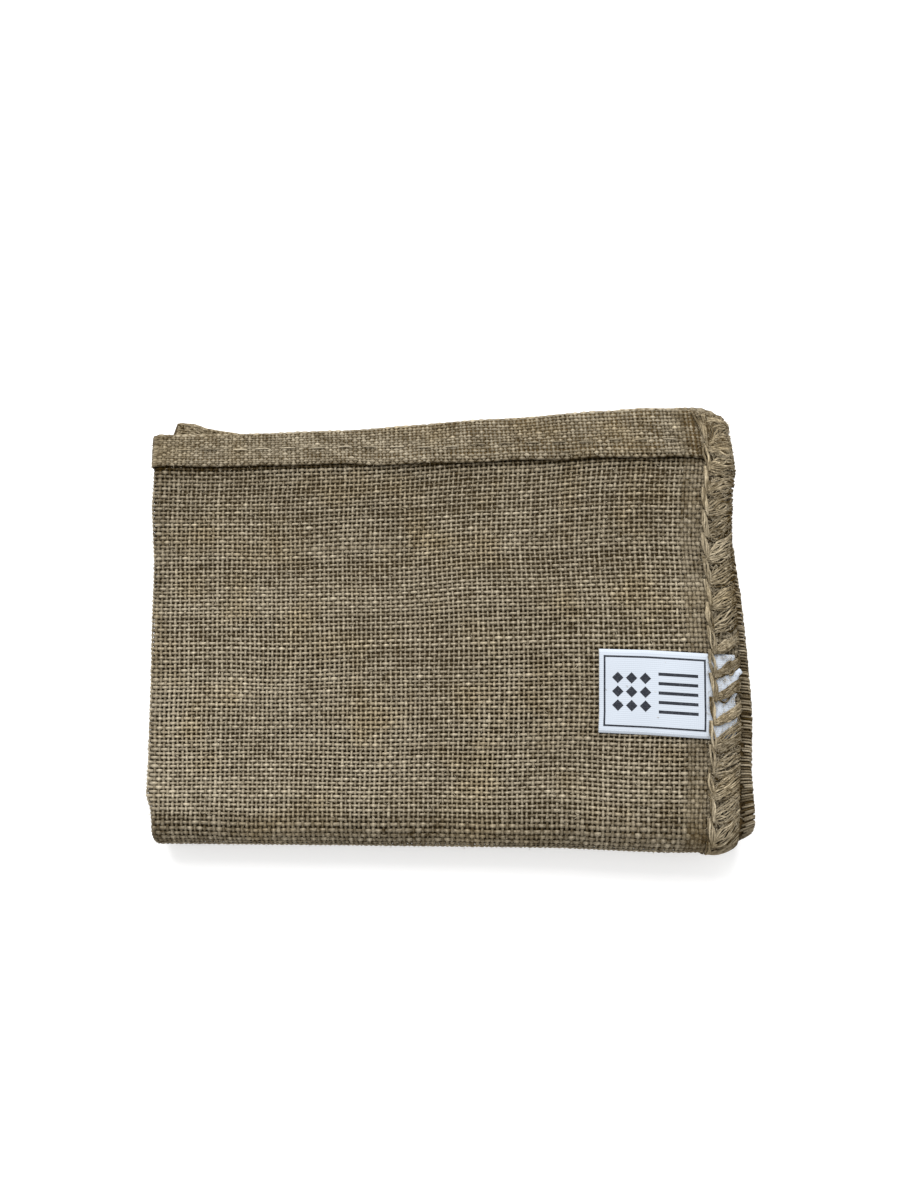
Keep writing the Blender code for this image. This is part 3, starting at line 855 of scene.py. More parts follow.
def yarn_sets(seed, side, along, off, settings, loose=1.0, shade=0.0):
    """Both yarn directions over one lattice of crossings: (points, tones) of columns and of rows.

    Every yarn has its own width and tone.  Ripples over the cloth make patches of thicker and of paler
    yarn.  The yarns are thicker and darker beside the seam and at the lengthwise fold, and painted light
    makes them paler towards the corner of the near and left folds.  loose widens the yarns, and shade is
    added to their tone.
    """
    draw = np.random.default_rng(seed + 9)
    rows, cols = side.shape
    checker = np.where((np.arange(rows)[:, None] + np.arange(cols)[None, :]) % 2 == 0, 1.0, -1.0)
    off = np.broadcast_to(off, side.shape)
    loose = np.broadcast_to(loose, side.shape)
    column_width = settings.column_yarn * about(draw, 1.0, 0.07, (cols, 1)) * np.ones((1, rows))
    row_width = settings.row_yarn * about(draw, 1.0, 0.09, (rows, 1)) * np.ones((1, cols))
    tight = soft_step(side, SEAM_SIDE - 27 * MM, SEAM_SIDE - 22 * MM)
    off_fold = soft_step(np.abs(side), 3 * MM, 11 * MM)
    from_mouth = np.clip((SACK_LENGTH - along) / TOP_RUN - 0.2, 0, 1)
    # Painted light: the yarns grow paler towards the corner of the near and left folds
    painted_light_corner = np.clip(1 - side / HALF_WIDTH, 0, 1) ** 2 * from_mouth
    field = 0.015 * ripple(seed + 5, side, along, 70 * MM) + 0.012 * ripple(seed + 6, side, along, 18 * MM)
    field = field + shade - 0.06 + 0.16 * painted_light_corner - 0.15 * tight - 0.06 * (1 - off_fold)
    patch = 0.04 * ripple(seed + 7, side, along, 55 * MM) + 0.035 * ripple(seed + 8, side, along, 14 * MM)
    patch = (1 + patch) * (1.28 - 0.28 * off_fold)
    row_width = row_width * patch * (1 + 0.66 * tight)
    row_width = row_width * slub_gain(side, along, SLUBS_IN_ROWS, 4, 2)
    column_width = column_width * patch.T * (1 + 0.44 * tight.T)
    column_width = column_width * slub_gain(side, along, SLUBS_IN_COLUMNS, 2, 4).T
    column_tone = about(draw, COLUMN_TONE, 0.04, (cols, 1)) + field.T
    row_tone = about(draw, ROW_TONE, 0.045, (rows, 1)) + field
    down = yarns(side.T, along.T, off.T, -checker.T, column_width * loose.T, column_tone, seed + 3, 0)
    across = yarns(side, along, off, checker, row_width * loose, row_tone, seed + 4, 1)
    return down, across


def outward(ring_points, quads):
    """The quads, turned round if the tubes face inward."""
    points = ring_points.reshape(-1, 3)
    first_tube = quads[(quads < ring_points.shape[1] * ring_points.shape[2]).all(axis=1)]
    middle = ring_points[0].reshape(-1, 3).mean(axis=0)
    return quads if signed_volume(points - middle, first_tube) > 0 else quads[:, ::-1]


def make_tubes(name, sets, look):
    """One piece from several sets of ring tubes, each (points, tones), one set after the other."""
    points, quads, tones = [], [], []
    count = 0
    for ring_points, tone in sets:
        tubes, rings, sides = ring_points.shape[:3]
        points.append(ring_points.reshape(-1, 3))
        quads.append(outward(ring_points, tube_faces(tubes, rings, sides)) + count)
        tones.append(np.asarray(tone, float).ravel())
        count += len(points[-1])
    return make_piece(name, np.concatenate(points), np.concatenate(quads), look, np.concatenate(tones))


def top_lattice():
    """Crossings of the wall that shows on top, from under the near fold to the mouth."""
    strip = SEAM_SIDE - CLOSE_STRIP
    open_sides = yarn_places(11, -HALF_BEND, strip, OPEN_PITCH, 2.40 * MM, 0.05)
    close_sides = yarn_places(13, strip, LAST_SIDE, 1.95 * MM, 1.75 * MM, 0.07)
    sides = np.concatenate([open_sides, close_sides[1:]])
    alongs = yarn_places(12, NEAR_BEND - 6 * MM, SACK_LENGTH, ROW_PITCH, ROW_PITCH, 0.07)
    return crossings(20, sides, alongs)


def top_painted_shade(side, along, near):
    """Painted shade on the top wall's yarns, as a change of tone.

    Painted shadow in two bell curves of the distance below the hem, a narrow one everywhere and a wide
    one beside the lengthwise fold; painted shade round the near bend, where near is 1, and more so beside
    the fold; and painted shade over the far quarter.
    """
    below_hem = np.clip(SACK_LENGTH - hem_width(side) - along, 0, None)
    # Painted shadow in a narrow band right under the hem's edge
    under_hem = 0.42 * np.exp(-((below_hem / (1.7 * MM)) ** 2))
    # Painted shadow of the lifted hem, wider beside the lengthwise fold
    corner_painted_shadow = 0.20 * np.exp(-((below_hem / (6 * MM)) ** 2)) * (1 - soft_step(side, 25 * MM, 70 * MM))
    # Painted shade round the near bend, deeper on the left
    bend_painted_shading = (0.25 - 0.13 * side / SEAM_SIDE) * near
    # Painted shade over the far quarter, towards the mouth
    far_quarter_painted_shade = 0.06 * soft_step(along, SACK_LENGTH - 95 * MM, SACK_LENGTH - 25 * MM)
    return -under_hem - corner_painted_shadow - bend_painted_shading - far_quarter_painted_shade


def hem_weave(seed, sides, cuts, settings, shade):
    """Close weave over these places of the cut of cloth, round the hem's bend.

    The hem's inner edge wavers by a ripple, and each hem is drawn in to its width at this side.  Two
    ripples make pale patches, and painted light makes the yarns paler on the bend.
    """
    side, cut = crossings(seed, sides, cuts)
    waver = 0.3 * MM * ripple(seed + 3, side, cut, 30 * MM)
    cut = cut + waver * soft_step(cut, LAST_HEM, LAST_HEM + 6 * MM)
    cut = drawn_in(side, cut)
    along, off = walk(CUT, CUT_START, 0.0, cut, np.zeros_like(cut))
    # Painted light: the yarns are paler on the hem's bend
    bend_painted_shading = np.exp(-(((cut - LAST_HEM - 0.6 * HEM_BEND) / (2.2 * MM)) ** 2))
    patches = 0.06 * ripple(seed + 4, side, cut, 9 * MM) + 0.05 * ripple(seed + 5, side, cut, 4 * MM)
    shade = shade + 0.04 * bend_painted_shading + patches + 0.015 * soft_step(side, 120 * MM, 240 * MM) + 0.035
    return yarn_sets(seed + 2, side, along, off, settings, 1.12, shade)


def running_stitches():
    """Short raised stitches of thread along the hem, between the stitches that go underneath.

    A stitch is an arch, half a sine high, that covers HEM_STITCH_SHARE of the spacing.
    """
    draw = np.random.default_rng(69)
    starts = np.arange(HALF_BEND + 8 * MM, SEAM_SIDE - 22 * MM, HEM_STITCH)[:, None]
    share = np.linspace(0, 1, 7)
    side = starts + HEM_STITCH * HEM_STITCH_SHARE * share + about(draw, 0.0, 0.6 * MM, starts.shape)
    shares, places = columns(HEM_STITCH_LINE)
    line = np.interp((side - HALF_BEND) / HALF_WIDTH, shares, places) * MM
    along = SACK_LENGTH - hem_width(side) + line + about(draw, 0.0, 0.35 * MM, starts.shape)
    off = WALL_OFFSET + HEM_LIFT + CLOTH_THICK / 2 + (0.55 * np.sin(math.pi * share) - 0.25) * MM
    paths = folded(side, along, np.broadcast_to(off, side.shape))
    rings = strand(paths, HEM_THREAD_RADIUS, (0, 0, 1))
    return rings, np.broadcast_to(about(draw, 0.60, 0.12, (len(starts), 1, 1)), rings.shape[:3])


# ------------------------------------------------------------------ the inner sheet and the tab

# The sheet's grid: shares of the way from the lengthwise bend to a seam, and steps along the wall
SHEET_SHARES = (0.012, 0.022, 0.038, 0.055, 0.072, *np.linspace(0, 1, 25)[2:])
WALL_STEPS = (
    # end of the stretch, steps in it
    (INNER_NEAR_BEND, 20),
    (THIRD_PASS, 10),
    (FAR_BEND, 24),
    (SECOND_PASS, 10),
    (NEAR_BEND, 24),
    (TOP_PASS, 16),
    (HEM_CLIMB, 24),
    (HEM_RISEN, 6),
    (SACK_LENGTH, 8),
)


def sheet_grid():
    """side and cut of the sheet's grid: finest in the bends, and the same on both walls and both halves."""
    half = np.concatenate([np.linspace(0, HALF_BEND, 7), HALF_BEND + HALF_WIDTH * np.array(SHEET_SHARES)])
    half[-1] -= 0.1 * MM
    sides = np.concatenate([-half[::-1], half[1:]])
    wall = [np.array([0.0])]
    for end, steps in WALL_STEPS:
        wall.append(np.linspace(wall[-1][-1], end, steps + 1)[1:])
    wall = np.concatenate(wall)
    hem = np.concatenate([np.linspace(0, HEM_WIDTH, 8)[:-1], HEM_WIDTH + HEM_BEND * np.arange(6) / 6])
    bottom = FRONT_WALL + SACK_LENGTH + BOTTOM_BEND * np.arange(1, 6) / 6
    front = FRONT_WALL + SACK_LENGTH - wall[::-1]
    cuts = np.concatenate([hem, front, bottom, BACK_WALL + wall, (CUT_LENGTH - hem)[::-1]])
    return np.meshgrid(sides, cuts)


def sheet_quads(side, cut):
    """Quads of the sheet's grid, without those that the yarns of the top, left and far faces stand for."""
    quads = grid_faces(*side.shape)
    mid_side = side.ravel()[quads].mean(axis=1)
    mid_cut = cut.ravel()[quads].mean(axis=1)
    mid_along = mid_cut - BACK_WALL
    on_back = (mid_cut > BACK_WALL) & (mid_cut < LAST_HEM)
    shows_on_top = (mid_side > -HALF_BEND) & (mid_along > NEAR_BEND - 6 * MM)
    shows_on_left = np.abs(mid_side) < HALF_BEND
    shows_far = (mid_side > 0) & (mid_along > FAR_BEND - 4 * MM) & (mid_along < SECOND_PASS + 4 * MM)
    return quads[~(on_back & (shows_on_top | shows_on_left | shows_far))]


def bare_share(side, cut):
    """1 where the sheet shows by itself, at the hems and on the lower half, and 0 under yarns and seams,
    where it takes the painted shade of the gaps between them.
    """
    along = np.abs(cut - (FRONT_WALL + BACK_WALL + SACK_LENGTH) / 2) - BOTTOM_BEND / 2
    yarns_over = soft_step(side, -1.4 * HALF_BEND, -1.2 * HALF_BEND)
    hems = soft_step(along, SACK_LENGTH - 5 * MM, SACK_LENGTH)
    hems = hems * (1 - yarns_over * soft_step(cut, LAST_HEM - 2 * MM, LAST_HEM))
    under_seam = 1 - soft_step(side, 16 * MM - SEAM_SIDE, 20 * MM - SEAM_SIDE)
    return np.maximum(hems, (1 - yarns_over) * (1 - under_seam))


# ------------------------------------------------------------------ the seams and the fluff


def seam_height(along):
    """Height of the cloth's face above the middle of its half of the sack."""
    return WALL_OFFSET + CLOTH_THICK / 2 + HEM_LIFT * soft_step(along, HEM_RISEN - 4.5 * MM, HEM_RISEN)


def on_label(along):
    """1 where the upper seam passes over the tab's sewn end."""
    started = soft_step(along, LABEL_NEAR - 5 * MM, LABEL_NEAR - 1 * MM)
    return started * (1 - soft_step(along, LABEL_FAR + 1 * MM, LABEL_FAR + 5 * MM))


def over_and_round(over, round_edge, turn):
    """A strand's points: t goes from 0 to 1 over the cloth, then swing from 0 to turn round its edge."""
    t = np.concatenate([np.linspace(0, 1, over), np.ones(round_edge - 1)])
    return t, np.concatenate([np.zeros(over - 1), np.linspace(0, turn, round_edge)])


def edge_wraps(settings, half, holes, tone_middle, seed):
    """Strands side by side at every stitch, half a circle round the cloth's edge from face to face.

    swing turns from -0.2 to 1.2 half turns.  Between 0 and one half turn a strand stands out by sin swing
    and lies off the cloth's middle by cos swing times the face's height; before and after that it runs
    inward on the face.  It climbs along the sack by WRAP_LEAN for each half turn.
    """
    draw = np.random.default_rng(seed)
    fan = np.linspace(-0.5, 0.5, WRAP_STRANDS, endpoint=False) + 0.5 / WRAP_STRANDS
    pitch = np.gradient(holes)[:, None]
    start = holes[:, None] + fan * pitch + about(draw, 0.0, 0.28 * MM, (len(holes), WRAP_STRANDS))
    start = start.reshape(-1, 1)
    swing = np.linspace(-0.2, 1.2, 9) * math.pi
    round_edge = np.clip(swing, 0, math.pi)
    out = about(draw, 0.62 * MM, 0.14 * MM, start.shape)
    along = start + WRAP_LEAN * (swing / math.pi - 0.5)
    along = np.clip(along, 0.5 * MM, SACK_LENGTH - 0.5 * MM)
    off = (seam_height(along) + 0.2 * MM) * np.cos(round_edge)
    inward = 8.5 * MM * about(draw, 1, 0.25, start.shape)
    beyond = np.sin(round_edge) * out - inward * np.abs(swing - round_edge)
    paths = folded(np.full_like(along, half * SEAM_SIDE), along, off, 0.0, beyond)
    rings = strand(paths, 1.1 * settings.twine_radius, (0, 1, 0))
    tone = about(draw, tone_middle, 0.15, (len(start), 1, 1)) - 0.10 * (swing < 0.1)[:, None]
    tone = tone + about(draw, 0.0, 0.08, rings.shape[:2])[..., None]
    return rings, np.broadcast_to(tone, rings.shape[:3])


def leg_path(along, leg, rise):
    """Places over the cloth, rise above it, at a distance leg inside the seam's edge."""
    lift = rise + LABEL_LIFT * on_label(along)
    return folded(np.full_like(along, SEAM_SIDE), along, seam_height(along), lift, -leg)


def fans(settings, holes):
    """At every stitch a leaf of strands that leaves the chain, spreads, domes up and goes round the edge.

    On a strand, u says where it lies in the leaf from -1 to 1.  Over the cloth, t goes from 0 at the chain
    to 1 at the edge; the leaf is half_leaf(t) stitches wide on each side of a middle that climbs along the
    sack by lean (0.55 t + 0.45 t^2), and each strand weaves about its line by a sine of t.  Its height is a
    half circle over u times a half sine over t.  The tone is lowest on the leaf's lower rim, and painted
    shade darkens the strands near the edge and as they turn round it.
    """
    draw = np.random.default_rng(73)
    stitches, strands = (len(holes), 1, 1), (len(holes), FAN_STRANDS, 1)
    u = about(draw, np.linspace(-1, 1, FAN_STRANDS)[None, :, None], 0.06, strands)
    t, swing = over_and_round(12, 6, 1.05 * math.pi)
    pitch = np.gradient(holes)[:, None, None]
    half_leaf = 0.12 + 0.38 * np.sin(math.pi / 2 * np.clip(1.4 * t, 0, 1)) ** 0.8
    half_leaf = half_leaf * (1 - 0.55 * on_label(holes)[:, None, None])
    lean = about(draw, FAN_LEAN, 0.8 * MM, stitches)
    stray = about(draw, 0.0, 0.62 * MM, strands) * np.sin(3.2 * math.pi * t + 6 * draw.random(size=strands))
    along = holes[:, None, None] + lean * (0.55 * t + 0.45 * t * t) + u * half_leaf * pitch + stray
    along = along + 1.8 * MM * swing / math.pi
    crowded = SACK_LENGTH - 5 * MM
    along = np.where(along > crowded, crowded + 4 * MM * (1 - np.exp((crowded - along) / (4 * MM))), along)
    dome = np.sqrt(np.clip(1 - 0.85 * u * u, 0.02, 1)) * np.sin(math.pi * (0.10 + 0.80 * t))
    rise = (dome * 1.15 + about(draw, 0.25, 0.12, strands)) * MM
    out = about(draw, 0.75 * MM, 0.15 * MM, strands)
    lift = (rise + LABEL_LIFT * on_label(along)) * np.cos(swing)
    beyond = out * np.sin(swing) - STITCH_LEG * (1 - t)
    places = folded(np.full_like(along, SEAM_SIDE), along, seam_height(along) * np.cos(swing), lift, beyond)
    paths = places.reshape(-1, len(t), 3)
    radius = 0.76 * settings.twine_radius * about(draw, 1, 0.15, (len(paths), 1))
    rings = strand(paths, radius * (1.15 - 0.3 * (t < 0.15)), (0, 0.3, 1))
    tone = about(draw, FAN_TONE, 0.06, stitches) + about(draw, 0.0, 0.06, strands)
    tone = tone + about(draw, 0.0, 0.13, along.shape)
    # The leaf's lower rim is darker, and painted shade darkens the strands as they turn round the edge
    tone = tone - 0.36 * np.clip(-u, 0, 1) ** 6 - 0.20 * np.sin(swing / 2)
    # Painted shade along the seam's outer edge, deeper towards the mouth
    edge = 0.14 + 0.16 * soft_step(along, TOP_PASS + 60 * MM, TOP_PASS + 110 * MM)
    tone = tone - edge * soft_step(t, 0.75, 1.0) + 0.10 * (1 - soft_step(t, 0.0, 0.3))
    return rings, np.broadcast_to(tone.reshape(-1, len(t), 1), rings.shape[:3])


def chain(settings, holes):
    """Links of strands laid up like a rope, slanted, thick in the middle and drawn in where they meet.

    share goes from hole to hole.  Strand k turns round the link's middle line by 2 pi (k/n + 0.35 share) at
    a distance thick, which follows a half sine, arch; the middle line slants by 2 mm, sways sideways with
    the arch and rises with it, less so at the near bend, where the chain lies flat.
    """
    draw = np.random.default_rng(74)
    stitches = (len(holes), 1)
    share = np.linspace(-0.12, 1.10, 14)[None, :]
    arch = np.sin(math.pi * np.clip(share, 0, 1))
    thick = (0.36 + 0.66 * arch) * MM * about(draw, 1, 0.15, stitches)
    sway = about(draw, 0.0, 0.5 * MM, stitches) * arch
    at = holes[:, None] + np.gradient(holes)[:, None] * share
    along = np.minimum(at, SACK_LENGTH - 2.5 * MM + 0.6 * MM * share)
    flat = 0.35 + 0.65 * soft_step(at, NEAR_BEND + 5 * MM, TOP_PASS + 4 * MM)
    under_hem = soft_step(along, SACK_LENGTH - 20 * MM, SACK_LENGTH - 13 * MM)
    found = []
    for k in range(CHAIN_STRANDS):
        turn = 2 * math.pi * (about(draw, k / CHAIN_STRANDS, 0.15, stitches) + 0.35 * share)
        sideways = sway + 1.0 * MM * (2 * share - 1) + 1.15 * thick * np.cos(turn)
        rise = (0.75 * MM + 0.6 * MM * arch + 0.75 * thick * np.sin(turn)) * flat
        radius = settings.twine_radius * about(draw, 1, 0.12, stitches)
        rings = strand(leg_path(along, STITCH_LEG + sideways, rise), radius, (0, 0, 1))
        # Painted light and shade: strands are paler on top of the rope and at the link's raised middle
        tone = about(draw, CHAIN_TONE, 0.12, stitches) + 0.06 * np.sin(turn) + 0.16 * arch**2
        tone = tone - 0.10 * under_hem + about(draw, 0.0, 0.07, tone.shape)
        found.append((rings, np.broadcast_to(tone[..., None], rings.shape[:3])))
    return found


def corner_strands(settings):
    """Strands that radiate from the end of the chain over the hem's corner and down its rounded edge.

    A strand leaves at its own angle and reaches a rounded square, 1 / (a^-4 + b^-4)^(1/4), where a and b
    are the ways to the side and to the mouth.  It bows sideways by a half sine.
    """
    draw = np.random.default_rng(75)
    strands = (CORNER_STRANDS, 1)
    angle = np.linspace(math.radians(-12), math.radians(112), CORNER_STRANDS)[:, None]
    angle = angle + about(draw, 0.0, math.radians(5), strands)
    leg_start = STITCH_LEG - (0.5 + 1.5 * draw.random(size=strands)) * MM
    along_start = SACK_LENGTH - (14 + 3.5 * draw.random(size=strands)) * MM
    to_side = leg_start / np.clip(np.cos(angle), 0.05, None)
    to_mouth = (SACK_LENGTH - 0.6 * MM - along_start) / np.clip(np.sin(angle), 0.05, None)
    reach = 1 / (to_side**-4.0 + to_mouth**-4.0) ** 0.25
    t, swing = over_and_round(9, 4, 0.5 * math.pi)
    bow = about(draw, 0.0, 0.8 * MM, strands) * np.sin(math.pi * t)
    leg = leg_start - reach * t * np.cos(angle) + bow * np.sin(angle)
    along = along_start + reach * t * np.sin(angle) + bow * np.cos(angle)
    along = np.clip(along, 0, SACK_LENGTH - 0.3 * MM)
    rise = (0.85 * np.sin(math.pi * np.clip(t, 0.1, 0.9)) + about(draw, 0.35, 0.15, strands)) * MM
    beyond = 0.6 * MM * np.sin(swing) * np.cos(angle) - leg
    off = seam_height(along) * np.cos(swing * 0.9)
    paths = folded(np.full_like(along, SEAM_SIDE), along, off, rise * np.cos(swing), beyond)
    radius = settings.twine_radius * about(draw, 1.1, 0.15, strands)
    rings = strand(paths, radius, (0, 0.2, 1))
    # Painted shade: the strands darken as they go round the hem's rounded edge
    tone = about(draw, CORNER_TONE, 0.12, (CORNER_STRANDS, 1, 1)) - 0.2 * np.sin(swing)[:, None]
    return rings, np.broadcast_to(tone, rings.shape[:3])


HAIR_RADIUS = 0.075 * MM
ALL_TOP = (TOP_PASS, SACK_LENGTH)
ALL_HEM = (SACK_LENGTH - 20 * MM, SACK_LENGTH)
FUZZ = (
    # count, side from and to, along from and to, above the face, length, stand, tone
    (700, (0, SEAM_SIDE - 20 * MM), (TOP_PASS, SACK_LENGTH - 24 * MM), 0, 2.6 * MM, 0.35, 0.78),
    (260, (0, SEAM_SIDE - 14 * MM), ALL_HEM, 0, 2.4 * MM, 0.45, 0.62),
    (800, (SEAM_SIDE - 15 * MM, SEAM_SIDE), ALL_TOP, 1.2 * MM, 2.6 * MM, 0.45, 0.70),
    (1100, (SEAM_SIDE - 12 * MM, SEAM_SIDE), ALL_TOP, 1.5 * MM, 1.9 * MM, 0.15, 0.55),
    (300, (SEAM_SIDE - 15 * MM, SEAM_SIDE + 1 * MM), ALL_HEM, 1.2 * MM, 3 * MM, 0.4, 0.7),
    (240, (-HALF_BEND, HALF_BEND), ALL_TOP, 0, 1.8 * MM, 0.6, 0.5),
    (200, (0, SEAM_SIDE), (NEAR_BEND + 8 * MM, TOP_PASS), 0, 1.8 * MM, 0.6, 0.45),
    (
        1300, (-SEAM_SIDE - 0.8 * MM, -SEAM_SIDE + 6 * MM), (TOP_PASS - 10 * MM, SACK_LENGTH),
        1 * MM, 2.6 * MM, 0.2, 0.5,
    ),
)


def hairs(draw, side, along, above, length, stand, tone_middle):
    """Thin bent fibres that start at flat places of the sack, above the face of the cloth.

    A fibre leaves in a direction that is stand parts upward and the rest level, and bows sideways by a
    half sine.  The upward and level directions are the differences between nearby places on the folded
    cloth, brought to length 1.
    """
    half = np.sign(side)
    beyond = np.clip(np.abs(side) - SEAM_SIDE, 0, None)
    flat_side = half * np.minimum(np.abs(side), SEAM_SIDE)
    off = seam_height(along) + above - 0.15 * MM
    base = folded(flat_side, along, off, 0.0, beyond)
    upward = folded(flat_side, along, off + 0.5 * MM, 0.0, beyond * 1.4) - base
    upward /= np.linalg.norm(upward, axis=-1, keepdims=True)
    angle = draw.uniform(0, 2 * math.pi, side.shape)
    step_side, step_along = 0.4 * MM * np.cos(angle), 0.4 * MM * np.sin(angle)
    step_side = np.where(beyond > 0, -np.abs(step_side) * half, step_side)
    level = folded(flat_side + step_side, along + step_along, off, 0.0, beyond) - base
    level /= np.linalg.norm(level, axis=-1, keepdims=True)
    across = np.cross(upward, level)
    t = np.linspace(0, 1, 4)[None, :, None]
    size = length * draw.uniform(0.5, 1.4, side.shape)[..., None]
    rising = stand * draw.uniform(0.4, 1.3, side.shape)[..., None]
    bow = 0.22 * draw.normal(size=side.shape)[..., None] * across * np.sin(math.pi * t)
    paths = base + size * (rising * upward * t * (1.4 - 0.6 * t) + (1 - rising) * level * t + bow)
    rings = strand(paths, HAIR_RADIUS, across)
    return rings, np.broadcast_to(about(draw, tone_middle, 0.14, (len(side), 1, 1)), rings.shape[:3])


# ------------------------------------------------------------------ settings


class SackSettings(bpy.types.PropertyGroup):
    """Sizes and colours of the sack's cloth, twine and tab."""

    column_yarn: bpy.props.FloatProperty(
        name="Lengthwise yarn", description="Width of the yarns that run along the sack",
        default=1.19 * MM, unit="LENGTH", precision=5,
    )
    row_yarn: bpy.props.FloatProperty(
        name="Crosswise yarn", description="Width of the yarns that run across the sack",
        default=1.32 * MM, unit="LENGTH", precision=5,
    )
    twine_radius: bpy.props.FloatProperty(
        name="Twine radius", description="Half the thickness of one strand of the seam twine",
        default=0.52 * MM, unit="LENGTH", precision=5,
    )
    jute_dark: bpy.props.FloatVectorProperty(
        name="Jute, dark", description="Darkest colour of the yarns", subtype="COLOR",
        default=(0.044, 0.026, 0.005), min=0, max=1,
    )
    jute_light: bpy.props.FloatVectorProperty(
        name="Jute, light", description="Lightest colour of the yarns", subtype="COLOR",
        default=(0.665, 0.58, 0.43), min=0, max=1,
    )
    jute_seam: bpy.props.FloatVectorProperty(
        name="Upper twine, light", description="Lightest colour of the upper seam's twine", subtype="COLOR",
        default=(0.63, 0.535, 0.375), min=0, max=1,
    )
    jute_under: bpy.props.FloatVectorProperty(
        name="Lower twine, light", description="Lightest colour of the lower seam's twine", subtype="COLOR",
        default=(0.54, 0.46, 0.33), min=0, max=1,
    )
    # Painted shade seen through the gaps between the yarns, darkest colour
    inner_painted_shade_gaps: bpy.props.FloatVectorProperty(
        name="Inner cloth, dark", description="Colour of the gaps of the inner layers", subtype="COLOR",
        default=(0.022, 0.013, 0.0034), min=0, max=1,
    )
    # Painted shade seen through the gaps between the yarns, lightest colour
    inner_painted_shade_yarns: bpy.props.FloatVectorProperty(
        name="Inner cloth, light", description="Colour of the yarns of the inner layers", subtype="COLOR",
        default=(0.120, 0.080, 0.034), min=0, max=1,
    )
    jute_bare: bpy.props.FloatVectorProperty(
        name="Bare cloth", description="Colour of the yarns where the sheet is bare", subtype="COLOR",
        default=(0.30, 0.25, 0.165), min=0, max=1,
    )
    tape_white: bpy.props.FloatVectorProperty(
        name="Tape", description="Colour of the tab's tape", subtype="COLOR",
        default=(0.56, 0.61, 0.68), min=0, max=1,
    )
    tape_ink: bpy.props.FloatVectorProperty(
        name="Ink", description="Colour of the tab's printed lines", subtype="COLOR",
        default=(0.02, 0.023, 0.032), min=0, max=1,
    )
    floor_colour: bpy.props.FloatVectorProperty(
        name="Floor", description="Colour of the floor", subtype="COLOR",
        default=(0.93, 0.93, 0.93), min=0, max=1,
    )


def settings_of(context):
    """The sack's settings in this scene."""
    return context.scene.sack_settings


# ------------------------------------------------------------------ operators


class SACK_OT_inner_cloth(bpy.types.Operator):
    """Lays the folded sheet that carries the yarns, with openings where they show through."""

    bl_idname = "sack.inner_cloth"
    bl_label = "Inner cloth"

    def execute(self, context):
        side, cut = sheet_grid()
        moved = drawn_in(side, cut)
        faces = []
        for face in (SHEET_HALF_THICK, -SHEET_HALF_THICK):
            along, off = walk(CUT, CUT_START, 0.0, moved, np.full_like(moved, face))
            faces.append(folded(side, along, off))
        points = np.stack(faces).reshape(-1, 3)
        quads = two_faced(sheet_quads(side, cut), side.size)
        used = np.unique(quads)
        renumber = np.full(len(points), -1)
        renumber[used] = np.arange(len(used))
        layout = np.stack([side, cut], axis=-1).reshape(-1, 2)
        look = sheet_finish("inner_hessian", settings_of(context))
        piece = make_piece(
            "inner_cloth", points[used], renumber[quads], look,
            np.tile(bare_share(side, cut).ravel(), 2)[used], np.tile(layout, (2, 1))[used],
        )
        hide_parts("sack_cloth")
        return {"FINISHED"}


class SACK_OT_top_weave(bpy.types.Operator):
    """Weaves the yarns of the wall that shows on top and round the near and left folds."""

    bl_idname = "sack.top_weave"
    bl_label = "Top weave"

    def execute(self, context):
        settings = settings_of(context)
        side, along = top_lattice()
        near = 1 - soft_step(along, TOP_PASS - 1 * MM, TOP_PASS + 7 * MM)
        loose = 1 + (0.16 + 0.20 * side / SEAM_SIDE) * near
        # Painted shade under the hem, round the near bend and over the far quarter
        shade = top_painted_shade(side, along, near)
        down, across = yarn_sets(30, side, along, WALL_OFFSET, settings, loose, shade)
        column_look = yarn_finish("jute_columns", settings, (2100, 650, 2100))
        row_look = yarn_finish("jute_rows", settings, (650, 2100, 2100))
        for name, (points, tone), look in (("columns", down, column_look), ("rows", across, row_look)):
            middle = len(points) // 2
            for part, chosen in (("first", slice(None, middle)), ("second", slice(middle, None))):
                piece = make_tubes(f"yarn_{name}_{part}", [(points[chosen], tone[chosen])], look)
        return {"FINISHED"}


class SACK_OT_folds_weave(bpy.types.Operator):
    """Weaves the yarns of the lower passes' left folds and of the far fold."""

    bl_idname = "sack.folds_weave"
    bl_label = "Weave in the folds"

    def execute(self, context):
        settings = settings_of(context)
        sides = yarn_places(41, -HALF_BEND * 1.25, HALF_BEND * 1.25, FOLD_PITCH, FOLD_PITCH, 0.03)
        alongs = yarn_places(42, 1 * MM, NEAR_BEND - 6 * MM, ROW_PITCH, ROW_PITCH, 0.07)
        left = yarn_sets(43, *crossings(44, sides, alongs), WALL_OFFSET, settings)
        sides = yarn_places(51, HALF_BEND, LAST_SIDE, OPEN_PITCH, 2.42 * MM, 0.05)
        alongs = yarn_places(52, FAR_BEND - 5 * MM, SECOND_PASS + 5 * MM, ROW_PITCH, ROW_PITCH, 0.05)
        far = yarn_sets(53, *crossings(54, sides, alongs), WALL_OFFSET, settings)
        look = yarn_finish("jute_in_folds", settings, (1500, 1500, 1500))
        piece = make_tubes("yarn_in_folds", [*left, *far], look)
        return {"FINISHED"}


REAR_LEFT = -HALF_BEND - 56 * MM
# Bends of the hems whose edges show at the mouth
HEM_EDGES = (
    # seed, side from and to, where the bend starts on the cut
    (84, -HALF_BEND, LAST_SIDE, HEM_WIDTH),
    (86, -LAST_SIDE, REAR_LEFT, HEM_WIDTH),
    (88, -LAST_SIDE, -HALF_BEND, LAST_HEM),
)


